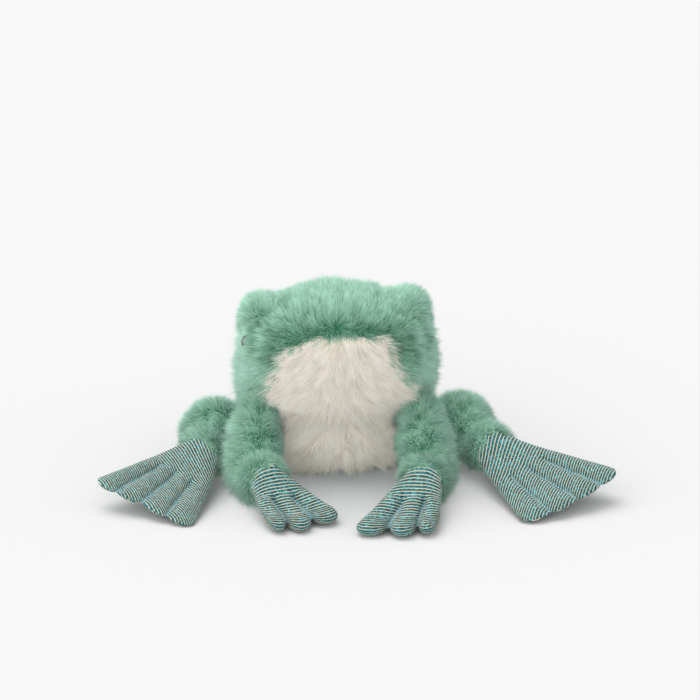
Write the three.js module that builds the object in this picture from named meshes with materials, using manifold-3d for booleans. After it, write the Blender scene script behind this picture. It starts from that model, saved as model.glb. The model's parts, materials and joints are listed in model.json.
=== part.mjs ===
// A sitting plush frog: a stuffed body sewn from fur panels, four soft legs and striped cloth paws.
// Millimetres, +Z up. The frog faces -Y, so its own left side is +X. The origin lies on the floor,
// in the flat seat that the frog rests on.

import * as THREE from "three";
import { mergeVertices } from "three/addons/utils/BufferGeometryUtils.js";
import Module from "manifold-3d";

const wasm = await Module();
wasm.setup();

// Clearances that all pieces share.
const seamGap = 0.3; // between two pieces sewn or pressed together
const swingGap = 0.3; // between a leg's ball and its socket
const swingClearance = 2.5; // between a leg and the body that it swings past
const passGap = 0.8; // between a front leg and the thigh beside it
const flatDepth = 0.5; // how deep a soft piece is pressed flat by the floor
const cutOverrun = 12; // how far a cutting shape runs past what it cuts
const groundReachShare = 5; // of the body's half-width, the half-width of the ground

// Body.
const bodyHeight = 118;
const bodyHalfWidth = 63;
const bodyFront = 60; // reach of the throat in front of the origin
const bodyBack = 74; // reach of the rump behind it
const furThickness = 5; // backing cloth and the pile pressed on it
const frontRoundness = 2.9; // exponents of the sections' outline: 2 is an ellipse, more is boxier
const backRoundness = 2.3;
// Sections from the seat to the crown: height, half-width, front and back.
const bodySectionShares = [
  [0.0, 0.74, 0.7, 0.73],
  [0.04, 0.88, 0.815, 0.865],
  [0.125, 0.955, 0.875, 0.965],
  [0.225, 0.975, 0.875, 1.0],
  [0.31, 0.975, 0.85, 0.985],
  [0.425, 0.99, 0.955, 0.92],
  [0.56, 1.0, 1.0, 0.8],
  [0.69, 0.99, 1.0, 0.65],
  [0.8, 0.945, 0.975, 0.5],
  [0.88, 0.84, 0.885, 0.35],
  [0.943, 0.67, 0.7, 0.19],
  [0.984, 0.4, 0.45, 0.03],
  [1.0, 0.0, 0.2, -0.162],
];

// Outlines of the fur panels, as shares of the body's half-width and height, and in the gusset of its
// half-width and its reach to the front and back.
const throatOutlineShares = [
  [-0.58, 0.32],
  [-0.75, 0.43],
  [-0.78, 0.55],
  [-0.66, 0.7],
  [-0.36, 0.815],
  [0.0, 0.84],
  [0.36, 0.81],
  [0.62, 0.7],
  [0.79, 0.56],
  [0.75, 0.43],
  [0.61, 0.32],
];
const bellyHalfWidthShare = 0.6;
const bellyTopShare = 0.31;
const gussetOutlineShares = [
  [-0.42, -1.1],
  [0.42, -1.1],
  [0.4, -0.3],
  [0.2, 0.35],
  [0.0, 0.62],
  [-0.2, 0.35],
  [-0.4, -0.3],
];
const gussetLowShare = 0.45;
const seatPanelShare = 0.9; // of the flat of the seat
const panelDepthShare = 0.4; // of the throat's reach, how deep the front panels' cuts go

// Weight bag in the seat.
const bagHalfWidth = 34;
const bagHalfDepth = 38;
const bagHeight = 18;
const bagSinkShare = 0.18; // of its height, how far its middle is pressed down

// Eye mounds, sewn on a little unevenly.
const moundRadius = 16.5;
const moundHeight = 13.5;
const moundFurThickness = 3.5;
const moundOutShares = { left: 0.69, right: 0.745 };
const moundUpShares = { left: 0.875, right: 0.855 };
const moundForwardShare = 0.25;

// Eyes: a dome on a ribbed shank, locked by a dished washer behind the cloth.
const eyeRadius = 5.5;
const eyeDomeHeight = 5;
const eyeRimHeight = 0.8;
const shankRadius = 2;
const shankLength = 13;
const shankRibs = 4;
const shankRibDepth = 0.35;
const shankRibShare = 0.7; // of the pitch of the ribs
const backingThickness = 1.2; // cloth that the shank passes through
const washerRadius = 6.5;
const washerThickness = 1.6;
const washerDish = 1.2;
const eyeUpShare = 0.62; // along the sections from the seat to the crown
const eyeTurn = -0.22; // radians in front of the body's widest line

// Front legs: a soft sleeve from the shoulder to the floor.
const shoulderRadius = 15;
const armTopShare = 0.93; // of the shoulder's radius
const shoulderOutShare = 0.78;
const shoulderForwardShare = 0.62;
const shoulderUpShare = 0.36;
const armRadius = 17;
const armReach = { left: 43, right: 37 }; // forward, from the shoulder to the middle of the cuff
const armSplay = { left: 5, right: 6 };
const armBulgeShare = 0.18; // of its radius, how far its middle rises
const armFurThickness = 4.5;
const wristBall = 12;
const wristSeatShare = 0.82; // of the sleeve's radius, from its middle to the wrist

// Hind legs: a round thigh beside the body and a short shank to the ankle.
const hipRadius = 15;
const hipOutShare = 0.88;
const hipForwardShare = 0.15;
const thighRadius = 24;
const thighForwardShare = 0.55; // of its radius, from the hip
const thighOutShare = 0.72; // of its radius, from the body's side to the thigh's middle
const shankReach = { left: 19, right: 15 }; // forward, from the thigh's middle to the ankle
const shankOut = { left: 8, right: 0 };
const ankleRadius = 17;
const legFurThickness = 4.5;
const ankleBall = 12.5;
const ankleSeatShare = 0.76; // of the shank's radius, from its middle to the ankle
const ankleHeight = 20;

// Striped paws: toes in a row, stitched apart, on a palm that starts as a ball.
const clothThickness = 1;
const seamHalfThickness = 1.3; // of both cloths, where they are stitched together
const toeFullness = 0.7; // exponents of the toes' section and of the paw's rim
const rimFullness = 8;
const fanGrowth = 0.9; // exponent of how the paw widens
const palmEndShare = 0.44; // of the length, where the palm has thinned to the toes
const dropEndShare = 0.85; // of the length, where the paw has dropped from its root
const toeStartShares = [0.32, 0.54]; // of the length, where the stitched channels deepen
const handToeHalfThickness = 5.8;
const footToeHalfThickness = 5;
const handNotch = 9; // how far back the seams between the toes end
const footNotch = 3;
const handDrop = 5; // from the root to the toes
const footDrop = 2;
const handSink = 1.7; // how deep the toes sink on to the floor
const footSink = 1.2;
const pawRowShares = [0.16, 0.45, 0.72, 0.92, 1]; // of the length, from the ball's middle
const tipShare = 0.16; // of the length, where the toes round off
const fillingTipShare = 0.9; // of the length, where the toes' filling ends
const rollReachShare = 0.6; // of the paw's half-span, where the toe is that the roll lowers most
const fillingMarginShare = 0.3; // of a facet's width, between that and the stitches

const handShape = {
  toes: 3,
  lobeSteps: 4, // facets across a toe
  ball: wristBall,
  toeHalfThickness: handToeHalfThickness,
  notch: handNotch,
  drop: handDrop,
  sink: handSink,
};
const footShape = {
  toes: 4,
  lobeSteps: 3,
  ball: ankleBall,
  toeHalfThickness: footToeHalfThickness,
  notch: footNotch,
  drop: footDrop,
  sink: footSink,
};

// Length of each paw along its middle, from its root to the toes' ends.
const handLengths = { left: 56, right: 52 };
const footLengths = { left: 80, right: 67 };

// How each paw lies, in degrees seen from above: its heading from +X, and what each edge turns away
// from that, the edge on the paw's right first. Roll drops the edge on its right. The reach of each
// edge is a share of the paw's length.
const pawPoses = {
  hand_left: { heading: -109.5, roll: 0, splay: [20.5, 10.5], reachShares: [1.15, 0.84] },
  hand_right: { heading: -66, roll: 0, splay: [9, 24], reachShares: [0.83, 1] },
  foot_left: { heading: -53.5, roll: 13.5, splay: [21, 20], reachShares: [0.96, 1.06] },
  foot_right: { heading: -126.5, roll: -13.5, splay: [20.5, 22], reachShares: [1.1, 1.06] },
};

// Ranges of the joints in degrees, which the clearances beside them are cut for.
const shoulderSwing = [-12, 35];
const hipSwing = [-20, 35];
const hipPasses = 6; // steps of the thigh's swing that the front leg is cleared for

// Facets.
const bodySides = 20;
const bodyRows = 12;
const liningSides = 16;
const liningRows = 8;
const legSides = 12;
const legRows = 4;
const coreSides = 8;
const coreRows = 3;
const capRows = 3;
const ballSides = 12;
const ballRows = 6;
const latheSides = 12;
const outlineFineness = 1.5; // steps for each point of an outline
const domeSteps = 4;

const { degToRad, lerp, smoothstep } = THREE.MathUtils;
const vector = (x, y, z) => new THREE.Vector3(x, y, z);
const spaced = (low, high, steps) => Array.from({ length: steps + 1 }, (_, i) => lerp(low, high, i / steps));

// Solids from geometries, and back.

function solidOf(geometry) {
  const bare = new THREE.BufferGeometry().setAttribute("position", geometry.getAttribute("position"));
  bare.setIndex(geometry.index);
  const merged = mergeVertices(bare);
  return new wasm.Manifold(
    new wasm.Mesh({
      numProp: 3,
      vertProperties: new Float32Array(merged.attributes.position.array),
      triVerts: new Uint32Array(merged.index.array),
    }),
  );
}

// The solid of a closed geometry whichever way its faces point.
function outwardSolid(geometry) {
  const solid = solidOf(geometry);
  if (solid.volume() > 0) return solid;
  const loose = geometry.index ? geometry.toNonIndexed() : geometry;
  const { array } = loose.getAttribute("position");
  const count = array.length / 3;
  const corners = Array.from({ length: count }, (_, i) => vector(...array.slice(i * 3, i * 3 + 3)));
  return solidOf(new THREE.BufferGeometry().setFromPoints(corners.reverse()));
}

function geometryOf(solid) {
  const mesh = solid.getMesh();
  const geometry = new THREE.BufferGeometry();
  geometry.setAttribute("position", new THREE.BufferAttribute(new Float32Array(mesh.vertProperties), 3));
  geometry.setIndex(new THREE.BufferAttribute(new Uint32Array(mesh.triVerts), 1));
  return geometry;
}

const moved = (solid, matrix) => solidOf(geometryOf(solid).applyMatrix4(matrix));
const joined = (solids) => solids.reduce((a, b) => a.add(b));
const largest = (solid) => solid.decompose().reduce((a, b) => (b.volume() > a.volume() ? b : a));

function box(low, high) {
  const size = high.clone().sub(low);
  const middle = high.clone().add(low).multiplyScalar(0.5);
  return solidOf(new THREE.BoxGeometry(...size).translate(...middle));
}

function ellipsoid(centre, rx, ry, rz, sides = ballSides, rows = ballRows) {
  const geometry = new THREE.SphereGeometry(1, sides, rows).rotateX(Math.PI / 2);
  return solidOf(geometry.scale(rx, ry, rz).translate(...centre));
}

const ball = (centre, radius) => ellipsoid(centre, radius, radius, radius);

// The space that a ball turns in. Its flat faces stay clear of the ball's corners, which point at them.
function socket(centre, radius) {
  const flatness = Math.cos(Math.PI / ballSides) * Math.cos(Math.PI / ballRows / 2);
  const reach = (radius + swingGap) / flatness;
  const geometry = new THREE.SphereGeometry(reach, ballSides, ballRows).rotateY(Math.PI / ballSides);
  return solidOf(geometry.rotateX(Math.PI / 2).translate(...centre));
}

function latheSolid(profile) {
  const points = profile.map(([radius, height]) => new THREE.Vector2(radius, height));
  return outwardSolid(new THREE.LatheGeometry(points, latheSides));
}

// A prism that runs from low to high along Y or Z. Its outline lies in X and the axis that is left.
function prism(outline, axis, low, high) {
  const shape = new THREE.Shape(outline.map(([a, b]) => new THREE.Vector2(a, b)));
  const geometry = new THREE.ExtrudeGeometry(shape, { depth: high - low, bevelEnabled: false });
  geometry.translate(0, 0, low);
  if (axis === "y") geometry.rotateX(Math.PI / 2).scale(1, -1, 1);
  return outwardSolid(geometry);
}

// An outline moved outwards by a gap.
function grown(outline, gap) {
  const count = outline.length;
  const outwards = Math.sign(THREE.ShapeUtils.area(outline.map(([x, y]) => new THREE.Vector2(x, y))));
  return outline.map(([x, y], i) => {
    const [px, py] = outline[(i + count - 1) % count];
    const [nx, ny] = outline[(i + 1) % count];
    const along = new THREE.Vector2(nx - px, ny - py).setLength(gap * outwards);
    return [x + along.y, y - along.x];
  });
}

// A smooth closed outline through the given points.
function rounded(outline) {
  const points = outline.map(([a, b]) => vector(a, b, 0));
  const curve = new THREE.CatmullRomCurve3(points, true, "centripetal");
  const steps = Math.round(outline.length * outlineFineness);
  return curve.getPoints(steps).slice(1).map((p) => [p.x, p.y]);
}

// A closed geometry from rings of points and the two poles that they run between.
function closedRings(rings, first, last) {
  const sides = rings[0].length;
  const points = [...rings.flat(), first, last];
  const top = (rings.length - 1) * sides;
  const faces = [];
  for (let j = 0; j < sides; j++) {
    const next = (j + 1) % sides;
    for (let i = 0; i < top; i += sides) {
      const [a, b] = [i + j, i + next];
      faces.push(a, b, b + sides, a, b + sides, a + sides);
    }
    faces.push(points.length - 2, next, j, points.length - 1, top + j, top + next);
  }
  return new THREE.BufferGeometry().setFromPoints(points).setIndex(faces);
}

// What is left of a leg that swings about X, once what it would meet at both its limits is cut away.
function clearOfSwing(leg, obstacle, centre, limits) {
  return limits.reduce((left, limit) => {
    const turn = new THREE.Matrix4().makeRotationX(degToRad(limit));
    const there = new THREE.Matrix4().makeTranslation(centre);
    const back = there.clone().invert();
    return left.subtract(moved(obstacle, there.multiply(turn).multiply(back)));
  }, leg);
}

// Body: a stack of rounded sections.

const sectionCurve = (column, reach) =>
  new THREE.CatmullRomCurve3(
    bodySectionShares.map((row) => vector(row[0] * bodyHeight, row[1] * bodyHalfWidth, row[column] * reach)),
    false,
    "catmullrom",
  );
const frontCurve = sectionCurve(2, bodyFront);
const backCurve = sectionCurve(3, bodyBack);

function bodyPoint(along, angle) {
  const { x: up, y: out, z: front } = frontCurve.getPoint(along);
  const back = backCurve.getPoint(along).z;
  const power = 2 / (Math.sin(angle) < 0 ? frontRoundness : backRoundness);
  const lobe = (value) => Math.sign(value) * Math.abs(value) ** power;
  const middle = (back - front) / 2;
  const depth = (back + front) / 2;
  return vector(out * lobe(Math.cos(angle)), middle + depth * lobe(Math.sin(angle)), up);
}

function bodyNormal(along, angle) {
  const step = 1e-3;
  const rise = bodyPoint(along + step, angle).sub(bodyPoint(along - step, angle));
  const round = bodyPoint(along, angle + step).sub(bodyPoint(along, angle - step));
  return round.cross(rise).normalize();
}

function bodySolid(inset, sides, rows) {
  const rings = spaced(0, 1 - 1 / rows, rows - 1).map((along, i) =>
    Array.from({ length: sides }, (_, j) => {
      const angle = ((j + 0.5) / sides) * 2 * Math.PI;
      const normal = bodyNormal(Math.max(along, 1 / rows), angle);
      const point = bodyPoint(along, angle).addScaledVector(normal, -inset);
      point.z = i === 0 ? inset : Math.max(point.z, inset);
      return point;
    }),
  );
  const crown = bodyPoint(1, 0);
  return solidOf(closedRings(rings, vector(0, 0, inset), crown.setZ(crown.z - inset)));
}

const bodyOuter = bodySolid(0, bodySides, bodyRows);
const bodyLining = bodySolid(furThickness, liningSides, liningRows);
const bodyTouch = bodySolid(-seamGap, bodySides, bodyRows);
const bodyClearance = bodySolid(-swingClearance, liningSides, liningRows);
const wide = groundReachShare * bodyHalfWidth;
const belowFloor = box(vector(-wide, -wide, -wide), vector(wide, wide, 0));

// Eyes: turned about their own axis and set square to the side of the head.

function eyeMatrix(side) {
  const angle = side > 0 ? eyeTurn : Math.PI - eyeTurn;
  const normal = bodyNormal(eyeUpShare, angle);
  const seat = bodyPoint(eyeUpShare, angle).addScaledVector(normal, backingThickness - furThickness);
  const turn = new THREE.Quaternion().setFromUnitVectors(vector(0, 1, 0), normal);
  return new THREE.Matrix4().compose(seat, turn, vector(1, 1, 1));
}

function eyeSolid() {
  const ribPitch = shankLength / (shankRibs + 1);
  const ribs = spaced(0, shankRibs - 1, shankRibs - 1).flatMap((i) => [
    [shankRadius - shankRibDepth, (i - shankRibs - 1) * ribPitch],
    [shankRadius, (i + shankRibShare - shankRibs - 1) * ribPitch],
  ]);
  const dome = spaced(0, Math.PI / 2, domeSteps).map((turn) => [
    eyeRadius * Math.max(Math.cos(turn), 0),
    eyeRimHeight + eyeDomeHeight * Math.sin(turn),
  ]);
  dome.at(-1)[0] = 0;
  return latheSolid([[0, -shankLength], ...ribs, [shankRadius, 0], [eyeRadius, 0], ...dome]);
}

function washerSolid() {
  const top = -backingThickness - seamGap;
  const bore = shankRadius + seamGap;
  return latheSolid([
    [bore, top - washerThickness],
    [washerRadius, top - washerThickness - washerDish],
    [washerRadius, top - washerDish],
    [bore, top],
    [bore, top - washerThickness],
  ]);
}

// The space that an eye and its washer take, apart from the backing cloth that they grip.
function eyeSpace() {
  const bore = shankRadius + seamGap;
  const washerLow = -backingThickness - washerThickness - washerDish - 2 * seamGap;
  return latheSolid([
    [0, -shankLength - seamGap],
    [bore, -shankLength - seamGap],
    [bore, washerLow],
    [washerRadius + seamGap, washerLow],
    [washerRadius + seamGap, -backingThickness],
    [bore, -backingThickness],
    [bore, -seamGap],
    [eyeRadius + seamGap, -seamGap],
    [eyeRadius + seamGap, cutOverrun],
    [0, cutOverrun],
  ]);
}

// A stuffed tube through the given middles, each with its radius, closed round at both ends.
function stuffedTube(stations, inset, sides = legSides, rows = legRows) {
  const line = new THREE.CatmullRomCurve3(stations.map(({ at }) => at), false, "centripetal");
  const swell = new THREE.CatmullRomCurve3(stations.map(({ radius }, i) => vector(i, radius, 0)));
  const ringAt = (centre, way, radius) => {
    const across = vector(0, 0, 1).cross(way).normalize();
    const up = way.clone().cross(across);
    return spaced(0, 2 * Math.PI, sides).slice(1).map((turn) => {
      const rim = centre.clone().addScaledVector(across, radius * Math.cos(turn));
      return rim.addScaledVector(up, radius * Math.sin(turn));
    });
  };
  const capRing = ({ at, radius }, way, turn) => {
    const reach = radius - inset;
    return ringAt(at.clone().addScaledVector(way, reach * Math.sin(turn)), way, reach * Math.cos(turn));
  };
  const capTurns = spaced(0, Math.PI / 2, capRows).slice(1, -1);
  const [start, end] = [stations[0], stations.at(-1)];
  const [startWay, endWay] = [line.getTangent(0), line.getTangent(1)];
  const rings = [
    ...capTurns.toReversed().map((turn) => capRing(start, startWay, -turn)),
    ...spaced(0, 1, rows).map((share) =>
      ringAt(line.getPoint(share), line.getTangent(share), swell.getPoint(share).y - inset),
    ),
    ...capTurns.map((turn) => capRing(end, endWay, turn)),
  ];
  const first = start.at.clone().addScaledVector(startWay, inset - start.radius);
  const last = end.at.clone().addScaledVector(endWay, end.radius - inset);
  return outwardSolid(closedRings(rings, first, last));
}

// The space inside a leg's fur, or with a gap the filling in it.
const legCore = (stations, inset) => stuffedTube(stations, inset, coreSides, coreRows);

// Legs: the middles that their tubes run through, towards the paw.

function armStations(side, reach, splay) {
  const shoulder = vector(
    side * shoulderOutShare * bodyHalfWidth,
    -shoulderForwardShare * bodyFront,
    shoulderUpShare * bodyHeight,
  );
  const cuff = vector(shoulder.x + side * splay, shoulder.y - reach, armRadius - flatDepth);
  const middle = shoulder.clone().lerp(cuff, 0.5);
  middle.z += armBulgeShare * armRadius;
  return [
    { at: shoulder, radius: armTopShare * shoulderRadius },
    { at: middle, radius: armRadius },
    { at: cuff, radius: armRadius },
  ];
}

function hipCentre(side) {
  return vector(side * hipOutShare * bodyHalfWidth, -hipForwardShare * bodyFront, thighRadius);
}

function thighStations(side, reach, out) {
  const middle = vector(
    side * (bodyHalfWidth + thighOutShare * thighRadius),
    hipCentre(side).y - thighForwardShare * thighRadius,
    thighRadius - flatDepth,
  );
  return [
    { at: middle, radius: thighRadius },
    { at: vector(middle.x + side * out, middle.y - reach, ankleHeight), radius: ankleRadius },
  ];
}

const headingWay = ({ heading }) => vector(Math.cos(degToRad(heading)), Math.sin(degToRad(heading)), 0);

// Paws: a flat pouch of two cloths. A place in it is given by u across, from -1 to 1, and by v along:
// 0 at the middle of the ball that it starts with, -1 at the ball's back and 1 at the toes' ends.

const toeLobe = (shape, u) => Math.abs(Math.sin((Math.PI * (u + 1) * shape.toes) / 2));

function pawHalfThickness(shape, u, v) {
  const round = Math.sqrt(Math.max(0, 1 - u * u));
  if (v < 0) return shape.ball * Math.cos((v * Math.PI) / 2) * round;
  const { toeHalfThickness: thin } = shape;
  const depth = thin + (shape.ball - thin) * Math.max(0, 1 - v / palmEndShare) ** 2;
  const seam = seamHalfThickness / thin;
  const toe = (seam + (1 - seam) * toeLobe(shape, u) ** toeFullness) * Math.sqrt(1 - u ** rimFullness);
  const tip = Math.max(0, (v - 1) / tipShare + 1);
  const toeness = smoothstep(v, ...toeStartShares);
  return depth * lerp(round, toe, toeness) * Math.sqrt(Math.max(0, 1 - tip * tip));
}

// The point at u, v and w above the pouch's middle, with its plan drawn in by an inset.
function pawPoint(shape, pose, inset, u, v, w) {
  const radius = shape.ball - inset;
  if (v < 0) {
    const turn = (v * Math.PI) / 2;
    return vector(radius * Math.sin(turn), radius * Math.cos(turn) * u, w);
  }
  const notch = shape.notch * (1 - Math.sqrt(toeLobe(shape, u))) * smoothstep(v, ...toeStartShares);
  const reach = pose.length * lerp(1, pose.reachShares[u < 0 ? 0 : 1], Math.abs(u));
  const length = reach - inset - notch;
  const edge = degToRad(u < 0 ? pose.splay[0] : pose.splay[1]) * u;
  const out = radius * u + v ** fanGrowth * length * Math.sin(edge);
  return vector(v * length * Math.cos(edge), out, w - shape.drop * smoothstep(v, 0, dropEndShare));
}

// The faces between a grid of points and another of the same size, which close it.
function closedGrids(near, far) {
  const corners = [];
  const quad = (a, b, c, d) => corners.push(a, b, c, a, c, d);
  const rows = near.length - 1;
  const columns = near[0].length - 1;
  for (let j = 0; j < rows; j++) {
    for (let i = 0; i < columns; i++) {
      quad(near[j][i], near[j + 1][i], near[j + 1][i + 1], near[j][i + 1]);
      quad(far[j][i], far[j][i + 1], far[j + 1][i + 1], far[j + 1][i]);
    }
    quad(near[j][0], far[j][0], far[j + 1][0], near[j + 1][0]);
    quad(near[j][columns], near[j + 1][columns], far[j + 1][columns], far[j][columns]);
  }
  for (let i = 0; i < columns; i++) {
    quad(near[0][i], near[0][i + 1], far[0][i + 1], far[0][i]);
    quad(near[rows][i], far[rows][i], far[rows][i + 1], near[rows][i + 1]);
  }
  const least = 1e-6;
  const kept = [];
  for (let i = 0; i < corners.length; i += 3) {
    const [a, b, c] = corners.slice(i, i + 3);
    const real = a.distanceTo(b) > least && b.distanceTo(c) > least && c.distanceTo(a) > least;
    if (real) kept.push(a, b, c);
  }
  return outwardSolid(new THREE.BufferGeometry().setFromPoints(kept));
}

// One cloth of a paw: the upper one for a sign of 1 and the sole for -1.
function pawCloth(shape, pose, sign) {
  const columns = spaced(-1, 1, shape.toes * shape.lobeSteps);
  const rows = [...spaced(-1, 0, 2), ...pawRowShares];
  const face = (inset) =>
    rows.map((v) =>
      columns.map((u) => {
        const height = Math.max(pawHalfThickness(shape, u, v) - inset, seamGap / 2);
        return pawPoint(shape, pose, inset, u, v, sign * height);
      }),
    );
  return closedGrids(face(0), face(clothThickness));
}

// The filling of a paw: a palm with one lobe for each toe.
function pawFilling(shape, pose) {
  const inset = clothThickness + seamGap;
  const patch = (columns, rows) => {
    const face = (sign) =>
      rows.map((v, j) =>
        columns.map((u, i) => {
          const rim = i === 0 || i === columns.length - 1 || j === 0 || j === rows.length - 1;
          const height = rim ? 0 : Math.max(pawHalfThickness(shape, u, v) - inset, seamGap / 2);
          return pawPoint(shape, pose, inset, u, v, sign * height);
        }),
      );
    return closedGrids(face(1), face(-1));
  };
  const toeColumns = spaced(-1, 1, shape.toes * shape.lobeSteps);
  const palm = patch(toeColumns, [...spaced(-1, 0, 2), ...pawRowShares.slice(0, 3)]);
  const margin = (toeColumns[1] - toeColumns[0]) * fillingMarginShare;
  const toes = spaced(0, shape.toes - 1, shape.toes - 1).map((i) => {
    const columns = toeColumns.slice(i * shape.lobeSteps, (i + 1) * shape.lobeSteps + 1);
    columns[0] += margin;
    columns[shape.lobeSteps] -= margin;
    return patch(columns, [...pawRowShares.slice(0, 3), fillingTipShare]);
  });
  return joined([palm, ...toes]);
}

// A paw on its root, lowered until its toes rest on the floor.
function buildPaw(shape, pose, root) {
  const halfSpan = shape.ball + pose.length * Math.sin(degToRad(Math.max(...pose.splay)));
  const rollDrop = rollReachShare * halfSpan * Math.abs(Math.sin(degToRad(pose.roll)));
  const toeHeight = shape.toeHalfThickness - shape.sink + rollDrop;
  const pitch = Math.asin((root.z - shape.drop - toeHeight) / pose.length);
  const turn = new THREE.Euler(degToRad(pose.roll), pitch, degToRad(pose.heading), "ZYX");
  const matrix = new THREE.Matrix4().makeRotationFromEuler(turn).setPosition(root);
  const [upper, sole, filling] = [
    pawCloth(shape, pose, 1),
    pawCloth(shape, pose, -1).subtract(moved(belowFloor, matrix.clone().invert())),
    pawFilling(shape, pose),
  ].map((solid) => moved(solid, matrix));
  return { upper, sole, filling };
}

// Materials.

const fabric = (color) => new THREE.MeshStandardMaterial({ color, roughness: 0.95, metalness: 0 });
const plastic = (color, roughness) => new THREE.MeshStandardMaterial({ color, roughness, metalness: 0 });
const greenFur = fabric(0x74b095);
const creamFur = fabric(0xe6dccb);
const stripedCloth = fabric(0x5f8f90);
const polyesterFilling = fabric(0xf4f4f0);
const bagCloth = fabric(0xd9d4c8);
const eyePlastic = plastic(0x1a1310, 0.12);
const washerPlastic = plastic(0xe8e8e4, 0.5);

// Assembly.

const frog = new THREE.Group();
frog.name = "plush_frog";

function addMesh(parent, name, solid, material) {
  const geometry = geometryOf(largest(solid));
  const origin = parent.getWorldPosition(vector(0, 0, 0));
  geometry.translate(...origin.negate());
  const mesh = new THREE.Mesh(geometry, material);
  mesh.name = name;
  parent.add(mesh);
}

function jointGroup(parent, name, centre) {
  const group = new THREE.Group();
  group.name = name;
  group.position.copy(centre).sub(parent.getWorldPosition(vector(0, 0, 0)));
  parent.add(group);
  return group;
}

const sides = { left: 1, right: -1 };
const bothSides = Object.entries(sides);
const everySide = (make) => Object.fromEntries(bothSides.map(([name, side]) => [name, make(name, side)]));
const arms = everySide((name, side) => armStations(side, armReach[name], armSplay[name]));
const thighs = everySide((name, side) => thighStations(side, shankReach[name], shankOut[name]));
const hips = everySide((name, side) => hipCentre(side));
const eyes = everySide((name, side) => eyeMatrix(side));
const thighTurns = spaced(-hipSwing[1], -hipSwing[0], hipPasses); // a thigh that rises turns back about +X
const eyeSpaces = joined(Object.values(eyes).map((matrix) => moved(eyeSpace(), matrix)));
const legSockets = joined([
  ...Object.values(arms).map(([shoulder]) => socket(shoulder.at, shoulderRadius)),
  ...Object.values(hips).map((hip) => socket(hip, hipRadius)),
]);

// Fur panels, cut from one shell in turn.

const outlineOf = (shares) => rounded(shares.map(([out, up]) => [out * bodyHalfWidth, up * bodyHeight]));
const bellyHalfWidth = bellyHalfWidthShare * bodyHalfWidth;
const bellyTop = bellyTopShare * bodyHeight;
const frontDepth = [-bodyFront - cutOverrun, -bodyFront * panelDepthShare];
const [, seatOutShare, seatFrontShare, seatBackShare] = bodySectionShares[0];
const [seatFront, seatBack] = [seatFrontShare * bodyFront, seatBackShare * bodyBack];
const panels = [
  {
    name: "base_panel",
    axis: "z",
    range: [-cutOverrun, furThickness + seamGap],
    material: greenFur,
    outline: spaced(0, 2 * Math.PI, liningSides).slice(1).map((turn) => [
      Math.cos(turn) * seatPanelShare * seatOutShare * bodyHalfWidth,
      Math.sin(turn) * seatPanelShare * (turn > Math.PI ? seatFront : seatBack),
    ]),
  },
  {
    name: "throat_panel",
    axis: "y",
    range: frontDepth,
    material: creamFur,
    outline: outlineOf(throatOutlineShares),
  },
  {
    name: "belly_panel",
    axis: "y",
    range: frontDepth,
    material: creamFur,
    outline: [
      [-bellyHalfWidth, -cutOverrun],
      [bellyHalfWidth, -cutOverrun],
      [bellyHalfWidth, bellyTop],
      [-bellyHalfWidth, bellyTop],
    ],
  },
  {
    name: "head_gusset",
    axis: "z",
    range: [gussetLowShare * bodyHeight, bodyHeight + cutOverrun],
    material: greenFur,
    outline: rounded(
      gussetOutlineShares.map(([out, back]) => {
        const reach = back < 0 ? bodyFront : bodyBack;
        return [out * bodyHalfWidth, back * reach];
      }),
    ),
  },
];

let shell = bodyOuter.subtract(bodyLining).subtract(legSockets).subtract(eyeSpaces);
for (const { name, axis, range, outline, material } of panels) {
  addMesh(frog, name, shell.intersect(prism(outline, axis, ...range)), material);
  const [low, high] = range;
  shell = shell.subtract(prism(grown(outline, seamGap), axis, low - seamGap, high + seamGap));
}
const bodyReach = bodyHeight + bodyBack;
for (const [name, side] of bothSides) {
  const near = Math.min(side * (seamGap / 2), side * bodyReach);
  const far = Math.max(side * (seamGap / 2), side * bodyReach);
  const half = box(vector(near, -bodyReach, -bodyReach), vector(far, bodyReach, bodyReach));
  addMesh(frog, "side_panel_" + name, shell.intersect(half), greenFur);
}

// Weight bag and filling inside the body.

const fillingInset = furThickness + seamGap;
const bagCentre = vector(0, 0, fillingInset + bagHeight * (0.5 - bagSinkShare));
const bagSolid = (grow) =>
  ellipsoid(bagCentre, bagHalfWidth + grow, bagHalfDepth + grow, bagHeight / 2 + grow);
const belowFilling = moved(belowFloor, new THREE.Matrix4().makeTranslation(0, 0, fillingInset));
addMesh(frog, "weight_bag", bagSolid(0).subtract(belowFilling), bagCloth);
const bodyFilling = bodySolid(fillingInset, liningSides, liningRows)
  .subtract(bagSolid(seamGap))
  .subtract(legSockets)
  .subtract(eyeSpaces);
addMesh(frog, "body_filling", bodyFilling, polyesterFilling);

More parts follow.
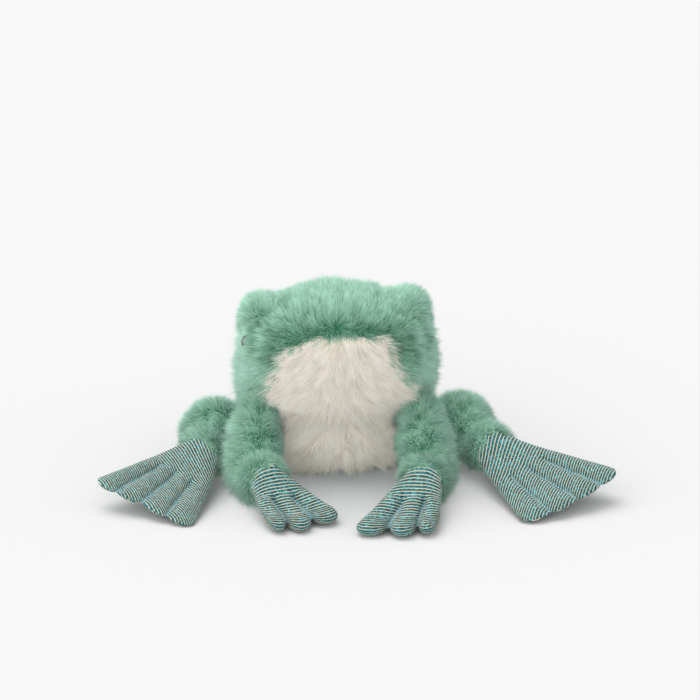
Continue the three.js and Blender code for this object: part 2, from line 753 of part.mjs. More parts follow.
for (const [name, side] of bothSides) {
  addMesh(frog, "eye_" + name, moved(eyeSolid(), eyes[name]), eyePlastic);
  addMesh(frog, "eye_washer_" + name, moved(washerSolid(), eyes[name]), washerPlastic);

  // Fur mound over the eye.
  const moundCentre = vector(
    side * moundOutShares[name] * bodyHalfWidth,
    -moundForwardShare * bodyFront,
    moundUpShares[name] * bodyHeight,
  );
  const mound = (inset) =>
    ellipsoid(moundCentre, moundRadius - inset, moundRadius - inset, moundHeight - inset);
  const moundSkin = mound(0).subtract(mound(moundFurThickness));
  addMesh(frog, "eye_mound_" + name, moundSkin.subtract(bodyTouch).subtract(eyeSpaces), greenFur);
  const wad = mound(moundFurThickness + seamGap).subtract(bodyTouch);
  addMesh(frog, "mound_filling_" + name, wad.subtract(eyeSpaces), polyesterFilling);

  // Front leg and its hand.
  const arm = arms[name];
  const [shoulder, , cuff] = arm;
  const handPose = { ...pawPoses["hand_" + name], length: handLengths[name] };
  const wrist = cuff.at.clone().addScaledVector(headingWay(handPose), wristSeatShare * cuff.radius);
  const thighClearance = stuffedTube(thighs[name], -passGap);
  const wristSocket = socket(wrist, wristBall);
  const shoulderRoot = ball(shoulder.at, shoulderRadius);
  const armRoom = clearOfSwing(stuffedTube(arm, 0), bodyClearance, shoulder.at, shoulderSwing);
  const armBeside = armRoom.subtract(bodyTouch).add(shoulderRoot).subtract(thighClearance);
  const armLimit = clearOfSwing(armBeside, thighClearance, hips[name], thighTurns).subtract(belowFloor);
  const shoulderGroup = jointGroup(frog, "shoulder_" + name, shoulder.at);
  const sleeve = armLimit.subtract(legCore(arm, armFurThickness)).subtract(wristSocket);
  addMesh(shoulderGroup, "arm_" + name, sleeve, greenFur);
  const armFilling = legCore(arm, armFurThickness + seamGap).intersect(armLimit).subtract(wristSocket);
  addMesh(shoulderGroup, "arm_filling_" + name, armFilling, polyesterFilling);
  const hand = buildPaw(handShape, handPose, wrist);
  const wristGroup = jointGroup(shoulderGroup, "wrist_" + name, wrist);
  addMesh(wristGroup, "hand_upper_" + name, hand.upper, stripedCloth);
  addMesh(wristGroup, "hand_palm_" + name, hand.sole, stripedCloth);
  addMesh(wristGroup, "hand_filling_" + name, hand.filling, polyesterFilling);

  // Hind leg and its foot.
  const thigh = thighs[name];
  const [, shank] = thigh;
  const footPose = { ...pawPoses["foot_" + name], length: footLengths[name] };
  const ankle = shank.at.clone().addScaledVector(headingWay(footPose), ankleSeatShare * shank.radius);
  const ankleSocket = socket(ankle, ankleBall);
  const sideOfBody = bodyHalfWidth + swingGap;
  const besideBody = box(
    vector(Math.min(side * sideOfBody, side * bodyReach), -bodyReach, 0),
    vector(Math.max(side * sideOfBody, side * bodyReach), bodyReach, bodyReach),
  );
  const thighLimit = stuffedTube(thigh, 0).intersect(besideBody).add(ball(hips[name], hipRadius));
  const hipGroup = jointGroup(frog, "hip_" + name, hips[name]);
  const thighCore = (inset) => legCore(thigh, inset).add(ball(hips[name], hipRadius - inset));
  const thighSkin = thighLimit.subtract(thighCore(legFurThickness)).subtract(ankleSocket);
  addMesh(hipGroup, "thigh_" + name, thighSkin, greenFur);
  const thighFilling = thighCore(legFurThickness + seamGap).intersect(thighLimit);
  addMesh(hipGroup, "thigh_filling_" + name, thighFilling.subtract(ankleSocket), polyesterFilling);
  const foot = buildPaw(footShape, footPose, ankle);
  const ankleGroup = jointGroup(hipGroup, "ankle_" + name, ankle);
  addMesh(ankleGroup, "foot_upper_" + name, foot.upper, stripedCloth);
  addMesh(ankleGroup, "foot_sole_" + name, foot.sole, stripedCloth);
  addMesh(ankleGroup, "foot_filling_" + name, foot.filling, polyesterFilling);
}

export default frog;
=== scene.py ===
"""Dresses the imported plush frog: fur pile on stuffed skins, striped cloth paws, eyes, studio and camera."""

import json
import logging
import math
from dataclasses import dataclass, field
from enum import Enum

import bmesh
import bpy
import numpy as np
from mathutils import Euler, Matrix, Vector
from mathutils.bvhtree import BVHTree

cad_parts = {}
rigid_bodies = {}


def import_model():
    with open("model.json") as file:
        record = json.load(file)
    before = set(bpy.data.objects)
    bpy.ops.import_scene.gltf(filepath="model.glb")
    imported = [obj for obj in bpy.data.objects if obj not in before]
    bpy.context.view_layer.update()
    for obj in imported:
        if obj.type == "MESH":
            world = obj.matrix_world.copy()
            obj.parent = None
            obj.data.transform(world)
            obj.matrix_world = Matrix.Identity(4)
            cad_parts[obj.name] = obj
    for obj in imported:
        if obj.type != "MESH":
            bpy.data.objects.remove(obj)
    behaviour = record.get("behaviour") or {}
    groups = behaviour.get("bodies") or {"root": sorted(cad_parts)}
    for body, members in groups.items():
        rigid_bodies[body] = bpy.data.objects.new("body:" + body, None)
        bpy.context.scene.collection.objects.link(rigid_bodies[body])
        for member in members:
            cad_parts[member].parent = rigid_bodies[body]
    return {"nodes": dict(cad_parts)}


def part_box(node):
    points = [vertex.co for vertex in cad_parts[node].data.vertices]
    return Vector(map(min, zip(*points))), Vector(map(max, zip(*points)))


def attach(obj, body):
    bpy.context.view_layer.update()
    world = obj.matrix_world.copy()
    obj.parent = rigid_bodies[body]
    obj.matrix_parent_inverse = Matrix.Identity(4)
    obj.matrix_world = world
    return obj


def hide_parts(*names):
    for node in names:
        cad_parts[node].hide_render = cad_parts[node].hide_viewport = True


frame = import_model()

Array = np.ndarray
Colour = tuple[float, float, float]
Material = bpy.types.Material
Piece = bpy.types.Object
Rng = np.random.Generator
Socket = bpy.types.NodeSocket

MM = 0.001
HEIGHT = 118 * MM
SIDES = {"left": 1, "right": -1}
BODY_SEED, ARM_SEED, THIGH_SEED, PAW_SEED = 20817, 20867, 20877, 20897
LOG = logging.getLogger("plush_frog")


class Slot(Enum):
    """The looks that can be swapped."""

    GREEN = "green_fur"
    CREAM = "cream_fur"
    STRIPES = "striped_cloth"
    EYE = "eye"


# Numbers and places.


@dataclass(frozen=True)
class Ramp:
    """A smooth rise from 0 at low to 1 at high."""

    low: float
    high: float

    def __call__(self, value: Array) -> Array:
        """Says how far up the rise each value is."""
        share = np.clip((value - self.low) / (self.high - self.low), 0, 1)
        return share * share * (3 - 2 * share)


def linear(*shares: int) -> Colour:
    """Turns a colour as seen on a screen, three shares from 0 to 255, into linear values."""
    parts = [share / 255 for share in shares]
    return tuple(part / 12.92 if part <= 0.04045 else ((part + 0.055) / 1.055) ** 2.4 for part in parts)


def unit(vectors: Array) -> Array:
    """Gives rows of vectors a length of one."""
    return vectors / np.maximum(np.linalg.norm(vectors, axis=1, keepdims=True), 1e-12)


def flatten(ways: Array, normals: Array) -> Array:
    """Takes out of directions what stands up from a surface with these normals."""
    return ways - (ways * normals).sum(1, keepdims=True) * normals


def reach_in(places: Array, low: Array | Vector, high: Array | Vector) -> Array:
    """Says how far places lie from a box's middle, where 1 is on the ellipsoid that fills the box."""
    centre, half = (low + high) / 2, (high - low) / 2
    return np.linalg.norm((places - np.array(centre)) / np.array(half), axis=1)


def waves(points: Array, length: float, seed: int, count: int = 7) -> Array:
    """Smooth noise in space: a sum of waves that run different ways.

    Args:
        points: Places in metres, one row each.
        length: Mean wavelength in metres.
        seed: Seed of the waves' directions.
        count: How many waves.

    Returns:
        One value for each place, mostly between -1 and 1.
    """
    rng = np.random.default_rng(seed)
    total = np.zeros(len(points))
    for _ in range(count):
        way = rng.normal(size=3)
        way /= np.linalg.norm(way)
        pace = 2 * math.pi / (length * rng.uniform(0.6, 1.6))
        total += np.sin(points @ way * pace + rng.uniform(0, 2 * math.pi))
    return total / math.sqrt(count)


def drift(points: Array, length: float, seed: int) -> Array:
    """Smooth noise in space with three values for each place."""
    return np.stack([waves(points, length, seed + axis) for axis in range(3)], 1)


# Pieces.


def assign(target: object, **values: object) -> None:
    """Sets some properties of one object."""
    for key, value in values.items():
        setattr(target, key, value)


def read(items: bpy.types.bpy_prop_collection, name: str, width: int = 3) -> Array:
    """Reads one property of every item.

    Args:
        items: The items.
        name: Name of the property.
        width: How many numbers the property has.

    Returns:
        One row for each item.
    """
    values = np.empty(len(items) * width, np.float32)
    items.foreach_get(name, values)
    return values.reshape(-1, width).astype(float)


def places_of(piece: Piece) -> Array:
    """Reads a mesh's corners in metres."""
    return read(piece.data.vertices, "co")


def normals_of(piece: Piece) -> Array:
    """Reads the smooth normals at a mesh's corners."""
    return read(piece.data.vertex_normals, "vector")


def move(piece: Piece, places: Array, lowest: float) -> None:
    """Moves a mesh's corners.

    Args:
        piece: The piece.
        places: Their new places.
        lowest: Height below which no corner goes.
    """
    places[:, 2] = np.maximum(places[:, 2], lowest)
    piece.data.vertices.foreach_set("co", places.astype(np.float32).ravel())
    piece.data.update()


def select_only(piece: Piece | None = None) -> None:
    """Deselects everything but one piece, which becomes the active one, or everything.

    Args:
        piece: The piece.
    """
    for other in bpy.context.view_layer.objects:
        other.select_set(other == piece)
    if piece:
        bpy.context.view_layer.objects.active = piece


def apply_modifiers(piece: Piece) -> None:
    """Applies a piece's modifiers in their order.

    Args:
        piece: The piece.
    """
    select_only(piece)
    for name in [modifier.name for modifier in piece.modifiers]:
        bpy.ops.object.modifier_apply(modifier=name)


def modify(piece: Piece, kind: str, **settings: object) -> None:
    """Gives a piece a modifier and applies it."""
    assign(piece.modifiers.new(kind.lower(), kind), **settings)
    apply_modifiers(piece)


def shade_smooth(piece: Piece) -> None:
    """Shades every face of a piece smooth."""
    select_only(piece)
    bpy.ops.object.shade_smooth()


def link_piece(name: str, mesh: bpy.types.Mesh) -> Piece:
    """Makes an object of a mesh.

    Args:
        name: Name of the piece.
        mesh: The mesh.

    Returns:
        The new object, linked to the scene.
    """
    piece = bpy.data.objects.new(name, mesh)
    bpy.context.scene.collection.objects.link(piece)
    return piece


def mesh_piece(name: str, places: Array, faces: Array) -> Piece:
    """Makes an object of triangles or of quads.

    Args:
        name: Name of the piece.
        places: Corners in metres, one row each.
        faces: Corner numbers, one row for each face.

    Returns:
        The new object.
    """
    mesh = bpy.data.meshes.new(name)
    mesh.vertices.add(len(places))
    mesh.vertices.foreach_set("co", places.astype(np.float32).ravel())
    mesh.loops.add(faces.size)
    mesh.loops.foreach_set("vertex_index", faces.astype(np.int32).ravel())
    mesh.polygons.add(len(faces))
    mesh.polygons.foreach_set("loop_start", np.arange(len(faces), dtype=np.int32) * faces.shape[1])
    mesh.update(calc_edges=True)
    return link_piece(name, mesh)


def spokes_around(ways: Array, rng: Rng) -> list[Array]:
    """Draws three directions around each way, a third of a turn apart.

    Args:
        ways: Directions of spikes.
        rng: Source of the draws.

    Returns:
        The first, second and third directions.
    """
    across = unit(np.cross(ways, rng.normal(size=ways.shape)))
    other = np.cross(ways, across)
    turns = (0, 2 * math.pi / 3, 4 * math.pi / 3)
    return [across * math.cos(turn) + other * math.sin(turn) for turn in turns]


def spike_piece(name: str, roots: Array, tips: Array, arms: list[Array], closed: bool = False) -> Piece:
    """Makes one object of three-sided spikes.

    Args:
        name: Name of the piece.
        roots: Middles of the spikes' feet.
        tips: Their points.
        arms: From each root to the three corners of its foot.
        closed: Whether the feet have faces too.

    Returns:
        The new object.
    """
    corners = np.stack([roots + arm for arm in arms] + [tips], 1)
    first = np.arange(len(roots), dtype=np.int32)[:, None] * 4
    sides = ((0, 1, 3), (1, 2, 3), (2, 0, 3)) + ((0, 2, 1),) * closed
    faces = np.concatenate([first + np.array([side]) for side in sides], 1)
    return mesh_piece(name, corners.reshape(-1, 3), faces.reshape(-1, 3))


def declare(piece: Piece, body: str, nodes: tuple[str, ...] = ()) -> None:
    """Hides the nodes that a finished piece stands for, puts the piece on its body and logs it.

    Args:
        piece: The piece.
        body: Name of the body that it rides on.
        nodes: Names of the nodes that it stands for.
    """
    if nodes:
        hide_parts(*nodes)
    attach(piece, body)
    LOG.info("%s: %d corners", piece.name, len(piece.data.vertices))


def scatter(piece: Piece, per_square_mm: float, rng: Rng) -> tuple[Array, Array]:
    """Draws places spread evenly over a piece's surface.

    Args:
        piece: The piece.
        per_square_mm: How many on a square millimetre.
        rng: Source of the draws.

    Returns:
        The places and the normals there.
    """
    places, normals, mesh = places_of(piece), normals_of(piece), piece.data
    mesh.calc_loop_triangles()
    triangles = np.empty(len(mesh.loop_triangles) * 3, np.int32)
    mesh.loop_triangles.foreach_get("vertices", triangles)
    triangles = triangles.reshape(-1, 3)
    a, b, c = (places[triangles[:, i]] for i in range(3))
    areas = np.linalg.norm(np.cross(b - a, c - a), axis=1) / 2
    count = int(areas.sum() / MM**2 * per_square_mm)
    corners = triangles[rng.choice(len(areas), count, p=areas / areas.sum())]
    u, v = rng.random(count), rng.random(count)
    over = u + v > 1
    u[over], v[over] = 1 - u[over], 1 - v[over]
    shares = np.stack([1 - u - v, u, v], 1)[:, :, None]
    return (places[corners] * shares).sum(1), unit((normals[corners] * shares).sum(1))


# Finishes.


class NodeSheet:
    """A material's nodes, made with short calls."""

    def __init__(self, name: str, inputs: dict[str, object]) -> None:
        """Starts a material with a Principled shader.

        Args:
            name: Name of the material.
            inputs: Values of the shader's inputs.
        """
        self.material = bpy.data.materials.new(name)
        self.material.use_nodes = True
        self.nodes, self.links = self.material.node_tree.nodes, self.material.node_tree.links
        self.shader = self.nodes["Principled BSDF"]
        self.feed(self.shader, inputs)

    def feed(self, node: bpy.types.Node, inputs: dict[str | int, object]) -> None:
        """Links a node's inputs, or writes numbers and colours on them.

        Args:
            node: The node.
            inputs: A socket, a number or a colour for each input.
        """
        for name, value in inputs.items():
            if isinstance(value, Socket):
                self.links.new(value, node.inputs[name])
            else:
                node.inputs[name].default_value = (*value, 1) if isinstance(value, tuple) else value

    def add(self, kind: str, inputs: dict[str | int, object], **settings: object) -> bpy.types.Node:
        """Adds a node.

        Args:
            kind: Its type.
            inputs: What its inputs are fed.
            settings: Values of its properties.

        Returns:
            The node.
        """
        node = self.nodes.new("ShaderNode" + kind)
        assign(node, **settings)
        self.feed(node, inputs)
        return node

    def attribute(self, name: str, output: str = "Fac") -> Socket:
        """Reads an attribute of the mesh."""
        return self.add("Attribute", {}, attribute_name=name).outputs[output]

    def math(self, operation: str, *values: Socket | float) -> Socket:
        """Calculates with sockets and numbers."""
        return self.add("Math", dict(enumerate(values)), operation=operation).outputs[0]

    def clamp(self, value: Socket) -> Socket:
        """Holds a value between 0 and 1."""
        return self.math("MINIMUM", self.math("MAXIMUM", value, 0.0), 1.0)

    def mix(self, share: Socket, first: Socket | Colour, second: Socket | Colour) -> Socket:
        """Mixes two colours, of which the second shows as much as the share says."""
        return self.add("Mix", {0: share, 6: first, 7: second}, data_type="RGBA").outputs[2]

    def noise(self, scale: float, detail: float = 2.0, vector: Socket | None = None) -> Socket:
        """Adds noise.

        Args:
            scale: Waves for each metre.
            detail: Octaves.
            vector: Socket to read instead of Object coordinates.

        Returns:
            The noise's value.
        """
        if vector is None:
            vector = self.add("TexCoord", {}).outputs["Object"]
        return self.add("TexNoise", {"Scale": scale, "Detail": detail, "Vector": vector}).outputs["Fac"]

    def bump(self, height: Socket, strength: float, distance: float) -> None:
        """Gives the shader a bump that is as high in metres as the distance says."""
        node = self.add("Bump", {"Strength": strength, "Distance": distance, "Height": height})
        self.feed(self.shader, {"Normal": node.outputs[0]})

    def painted(self, colour: Socket) -> Material:
        """Gives the shader its colour and hands over the material."""
        self.feed(self.shader, {"Base Color": colour})
        return self.material


@dataclass(frozen=True)
class PlushFinish:
    """One plush cloth: the colours of its pile from the root to the tip, and its sheen. Its dark roots are
    partly its own two tones and partly painted shade inside the pile.
    """

    name: str
    slot: Slot
    root: Colour
    middle: Colour
    tip: Colour
    sheen: float
    sheen_tint: Colour
    roughness: float = 0.9
    gloss: float = 0.08
    # Painted shade darkens tips that stay low in the pile; the next two set how far the paleness, painted
    # light and painted shade of a place move the colours.
    tip_power: float = 1.6
    paleness_and_painted_light_power: float = 1.1
    paleness_and_painted_light_share: float = 0.3

    def pile(self) -> Material:
        """The pile's material, which reads each strand's own colour.

        Returns:
            The material.
        """
        inputs = {
            "Roughness": self.roughness,
            "Specular IOR Level": self.gloss,
            "Sheen Weight": self.sheen,
            "Sheen Roughness": 0.5,
            "Sheen Tint": self.sheen_tint,
        }
        sheet = NodeSheet(self.name + "_pile", inputs)
        return sheet.painted(sheet.attribute("pile_tint", "Color"))

    def backing(self) -> Material:
        """The knitted backing under the pile, in the pile's dark root colours, which show as painted shade in
        the gaps between strands.

        Returns:
            The material.
        """
        sheet = NodeSheet(self.name + "_backing", {"Roughness": 0.95})
        grain = sheet.noise(900.0, 3.0)
        sheet.bump(grain, 0.6, 0.6 * MM)
        return sheet.painted(sheet.mix(grain, self.root, self.middle))

    def tints(self, heights: Array, paleness_and_painted_light: Array | float) -> tuple[Array, Array]:
        """Gives strands their colours, with painted shade: roots are dark, and a tip that stays low in the
        pile stays dark, in place of the shadow that the pile doesn't cast.

        Args:
            heights: How high each strand reaches, from 0 to 1.
            paleness_and_painted_light: How much the pile is paled or darkened there, from -1 to 1: the
                cream's own paleness, and painted light and painted shade on the green.

        Returns:
            The root colours and the tip colours.
        """
        root, tip = np.array(self.root), np.array(self.tip)
        pale = (np.zeros(len(heights)) + paleness_and_painted_light)[:, None]
        share = heights[:, None] ** (self.tip_power - self.paleness_and_painted_light_power * pale)
        tips = tip * (1 + self.paleness_and_painted_light_share * np.minimum(pale, 0))
        roots = root + (tip - root) * self.paleness_and_painted_light_share * np.maximum(pale, 0)
        return roots, root + (tips - root) * share


# Roots are painted far darker than tips: partly the fur's own two tones, partly painted shade inside the
# pile, which casts no shadow on itself.
GREEN_PLUSH = PlushFinish(
    "green_plush",
    Slot.GREEN,
    root=linear(6, 86, 56),
    middle=linear(36, 110, 82),
    tip=linear(200, 252, 227),
    sheen=0.08,
    sheen_tint=(0.86, 1.0, 0.93),
)
CREAM_PLUSH = PlushFinish(
    "cream_plush",
    Slot.CREAM,
    root=linear(222, 208, 185),
    middle=linear(232, 219, 200),
    tip=linear(255, 252, 244),
    sheen=0.1,
    sheen_tint=(1.0, 0.97, 0.92),
)


@dataclass(frozen=True)
class StripedCloth:
    """Ribbed cloth: raised cream threads between flat rows of teal yarn with bright flecks."""

    cream: Colour = linear(232, 224, 194)
    # The cream painted darker between the thread's plies, as painted shade.
    cream_painted_shade: Colour = linear(176, 176, 150)
    teal: Colour = linear(34, 113, 119)
    teal_dark: Colour = linear(8, 57, 63)
    cyan: Colour = linear(84, 184, 200)
    thread: Colour = linear(168, 214, 222)
    cream_share: float = 0.29
    cream_edge: float = 0.06
    wander: float = 0.35
    twist: float = 0.9 * MM
    ply_slant: float = 1.6
    floats: tuple[float, float, float] = (7.31, 1150.0, 3.7)
    float_rows: float = 3.0
    fleck: tuple[float, float] = (0.56, 9.0)
    shade: tuple[float, float] = (0.3, 2.6)
    stitch_share: float = 0.9
    stitch_gap: float = 0.4
    stitch_power: float = 2.8
    stitch_cover: float = 0.9
    # How much darker the seams are painted, as painted shade.
    seam_painted_shade: float = 0.5
    roughness: float = 0.82

    def material(self) -> Material:
        """The cloth's material, which follows the rows along each paw.

        Returns:
            The material.
        """
        inputs = {"Roughness": self.roughness, "Specular IOR Level": 0.3, "Sheen Weight": 0.12}
        sheet = NodeSheet("striped_cloth", inputs)
        calc = sheet.math
        marks = ("rib", "rib_side", "across", "across_side", "seam", "sheet")
        rib, rib_side, across, across_side, seam, side = (sheet.attribute(mark) for mark in marks)
        upper = calc("SUBTRACT", calc("MULTIPLY", calc("GREATER_THAN", side, 0.0), 2.0), 1.0)
        along = calc("MULTIPLY_ADD", rib_side, upper, rib)
        across = calc("MULTIPLY_ADD", across_side, upper, across)
        wander = calc("MULTIPLY", calc("SUBTRACT", sheet.noise(130.0), 0.5), self.wander)
        phase = calc("FRACT", calc("ADD", along, wander))
        ridge = calc("ABSOLUTE", calc("SUBTRACT", phase, 0.5))
        edge = calc("DIVIDE", calc("SUBTRACT", self.cream_share / 2, ridge), self.cream_edge)
        cream_mask = sheet.clamp(calc("ADD", edge, 0.5))

        # Plies of the cream thread, painted darker between the plies as painted shade, and the short floats
        # of the teal yarn, of which the lower ones are painted darker, as painted shade.
        lean = calc("ADD", calc("DIVIDE", across, self.twist), calc("MULTIPLY", phase, self.ply_slant))
        ply = calc("ABSOLUTE", calc("SINE", calc("MULTIPLY", lean, math.pi)))
        steps = (calc("FLOOR", along), across, calc("FLOOR", calc("MULTIPLY", phase, self.float_rows)))
        cell = {axis: calc("MULTIPLY", step, size) for axis, step, size in zip("XYZ", steps, self.floats)}
        yarn = sheet.noise(1.0, 1.0, sheet.add("CombineXYZ", cell).outputs[0])
        fleck, shade = (
            sheet.clamp(calc("MULTIPLY", calc("SUBTRACT", yarn, start), gain))
            for start, gain in (self.fleck, self.shade)
        )
        teal = sheet.mix(fleck, sheet.mix(shade, self.teal_dark, self.teal), self.cyan)
        cloth = sheet.mix(cream_mask, teal, sheet.mix(ply, self.cream_painted_shade, self.cream))
        raised = calc("MULTIPLY", cream_mask, calc("ADD", ply, 0.4))
        sheet.bump(calc("ADD", raised, yarn), 0.7, 0.25 * MM)

        # The channels between the toes, painted darker as painted shade, and the dotted thread in them.
        painted_valley_shade = sheet.mix(calc("MULTIPLY", seam, self.seam_painted_shade), cloth, self.teal_dark)
        stitch = calc("FRACT", calc("MULTIPLY", along, self.stitch_share))
        dash = calc("GREATER_THAN", stitch, self.stitch_gap)
        stitches = calc("MULTIPLY", calc("POWER", seam, self.stitch_power), dash)
        return sheet.painted(sheet.mix(calc("MULTIPLY", stitches, self.stitch_cover), painted_valley_shade, self.thread))

    def stitch_material(self) -> Material:
        """The sewing thread's material.

        Returns:
            The material.
        """
        sheet = NodeSheet("sewing_thread", {"Roughness": 0.7})
        grain = sheet.noise(2500.0)
        sheet.bump(grain, 0.5, 0.1 * MM)
        return sheet.painted(sheet.mix(grain, self.teal, self.thread))


@dataclass(frozen=True)
class MouldedPlastic:
    """Smooth plastic with a faint mottle."""

    name: str
    dark: Colour
    light: Colour
    roughness: float
    coat: float = 0.0

    def material(self) -> Material:
        """The plastic's material.

        Returns:
            The material.
        """
        inputs = {"Roughness": self.roughness, "Coat Weight": self.coat, "Coat Roughness": 0.04}
        sheet = NodeSheet(self.name, inputs)
        return sheet.painted(sheet.mix(sheet.noise(420.0, 3.0), self.dark, self.light))


EYE_PLASTIC = MouldedPlastic("eye_plastic", linear(12, 8, 7), linear(46, 30, 22), 0.12, 0.2)
WASHER_PLASTIC = MouldedPlastic("washer_plastic", linear(214, 214, 208), linear(236, 236, 231), 0.5)


# Stuffed skins.


@dataclass
class StuffedSkin:
    """A stuffed form under the pile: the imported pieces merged, drawn in and blown up a little as cloth."""

    name: str
    nodes: tuple[str, ...]
    body: str
    fill: float
    voxel: float = 4 * MM
    draw_in: float = 4.8 * MM
    smoothing: int = 12
    proud: tuple[tuple[Vector, Vector], ...] = ()
    proud_edge: Ramp = Ramp(0.6, 1.5)
    lowest: float = 0.9 * MM
    lowest_blown: float = 0.6 * MM
    cap: float = 1.6 * MM
    pressure: float = 4.0
    stiffness: float = 12.0
    bending: float = 0.4
    frames: int = 20
    finish: PlushFinish = GREEN_PLUSH
    piece: Piece = field(init=False)

    def build(self) -> Piece:
        """Returns:
            The skin.
        """
        self.piece = self.merged_copy()
        modify(self.piece, "REMESH", mode="VOXEL", voxel_size=self.voxel)
        self.keep_largest()
        self.draw_together()
        self.blow_up()
        modify(self.piece, "SUBSURF", levels=1, render_levels=1)
        shade_smooth(self.piece)
        self.piece.data.materials.clear()
        self.piece.data.materials.append(self.finish.backing())
        declare(self.piece, self.body, self.nodes)
        return self.piece

    def merged_copy(self) -> Piece:
        """Joins copies of the nodes' meshes.

        Returns:
            The joined object.
        """
        mesh = bpy.data.meshes.new(self.name)
        joined = bmesh.new()
        for node in self.nodes:
            joined.from_mesh(frame["nodes"][node].data)
        bmesh.ops.remove_doubles(joined, verts=joined.verts, dist=0.01 * MM)
        joined.to_mesh(mesh)
        joined.free()
        return link_piece(self.name, mesh)

    def keep_largest(self) -> None:
        """Deletes what isn't part of the largest closed surface."""
        shell = bmesh.new()
        shell.from_mesh(self.piece.data)
        left = set(shell.verts)
        best: set[bmesh.types.BMVert] = set()
        while left:
            island = {left.pop()}
            edge = list(island)
            while edge:
                nearby = {e.other_vert(v) for v in edge for e in v.link_edges} - island
                island |= nearby
                edge = list(nearby)
            left -= island
            best = max(best, island, key=len)
        spare = [vert for vert in shell.verts if vert not in best]
        bmesh.ops.delete(shell, geom=spare, context="VERTS")
        shell.to_mesh(self.piece.data)
        shell.free()

    def draw_together(self) -> None:
        """Smooths out the facets and draws the skin in below the pile, less where something stands proud."""
        smoothed = {"rest_source": "ORCO", "use_only_smooth": True, "factor": 0.5}
        modify(self.piece, "CORRECTIVE_SMOOTH", iterations=self.smoothing, **smoothed)
        places = places_of(self.piece)
        depth = np.full(len(places), self.draw_in)
        for low, high in self.proud:
            depth *= self.proud_edge(reach_in(places, low, high))
        move(self.piece, places - normals_of(self.piece) * depth[:, None], self.lowest)

    def blow_up(self) -> None:
        """Blows the skin up with the cloth simulation and caps how far it moves."""
        before = places_of(self.piece)
        cloth = self.piece.modifiers.new("cloth", "CLOTH")
        assign(
            cloth.settings,
            quality=4,
            use_pressure=True,
            uniform_pressure_force=self.pressure,
            tension_stiffness=self.stiffness,
            compression_stiffness=self.stiffness,
            bending_stiffness=self.bending,
        )
        cloth.settings.effector_weights.gravity = 0
        cloth.point_cache.frame_end = self.frames
        for number in range(1, self.frames + 1):
            bpy.context.scene.frame_set(number)
        apply_modifiers(self.piece)
        bpy.context.scene.frame_set(1)
        step = places_of(self.piece) - before
        step *= np.minimum(1, self.cap / np.maximum(np.linalg.norm(step, axis=1, keepdims=True), 1e-9))
        move(self.piece, before + step, self.lowest_blown)


# Pile.


@dataclass
class Strands:
    """Strands before they are meshed, one row each."""

    roots: Array
    normals: Array
    combs: Array
    lengths: Array
    lifts: Array
    heights: Array
    # How much paler or darker the tips are: the cream's own paleness, and painted light and painted shade on
    # the green.
    paleness_and_painted_light: Array | float = 0.0


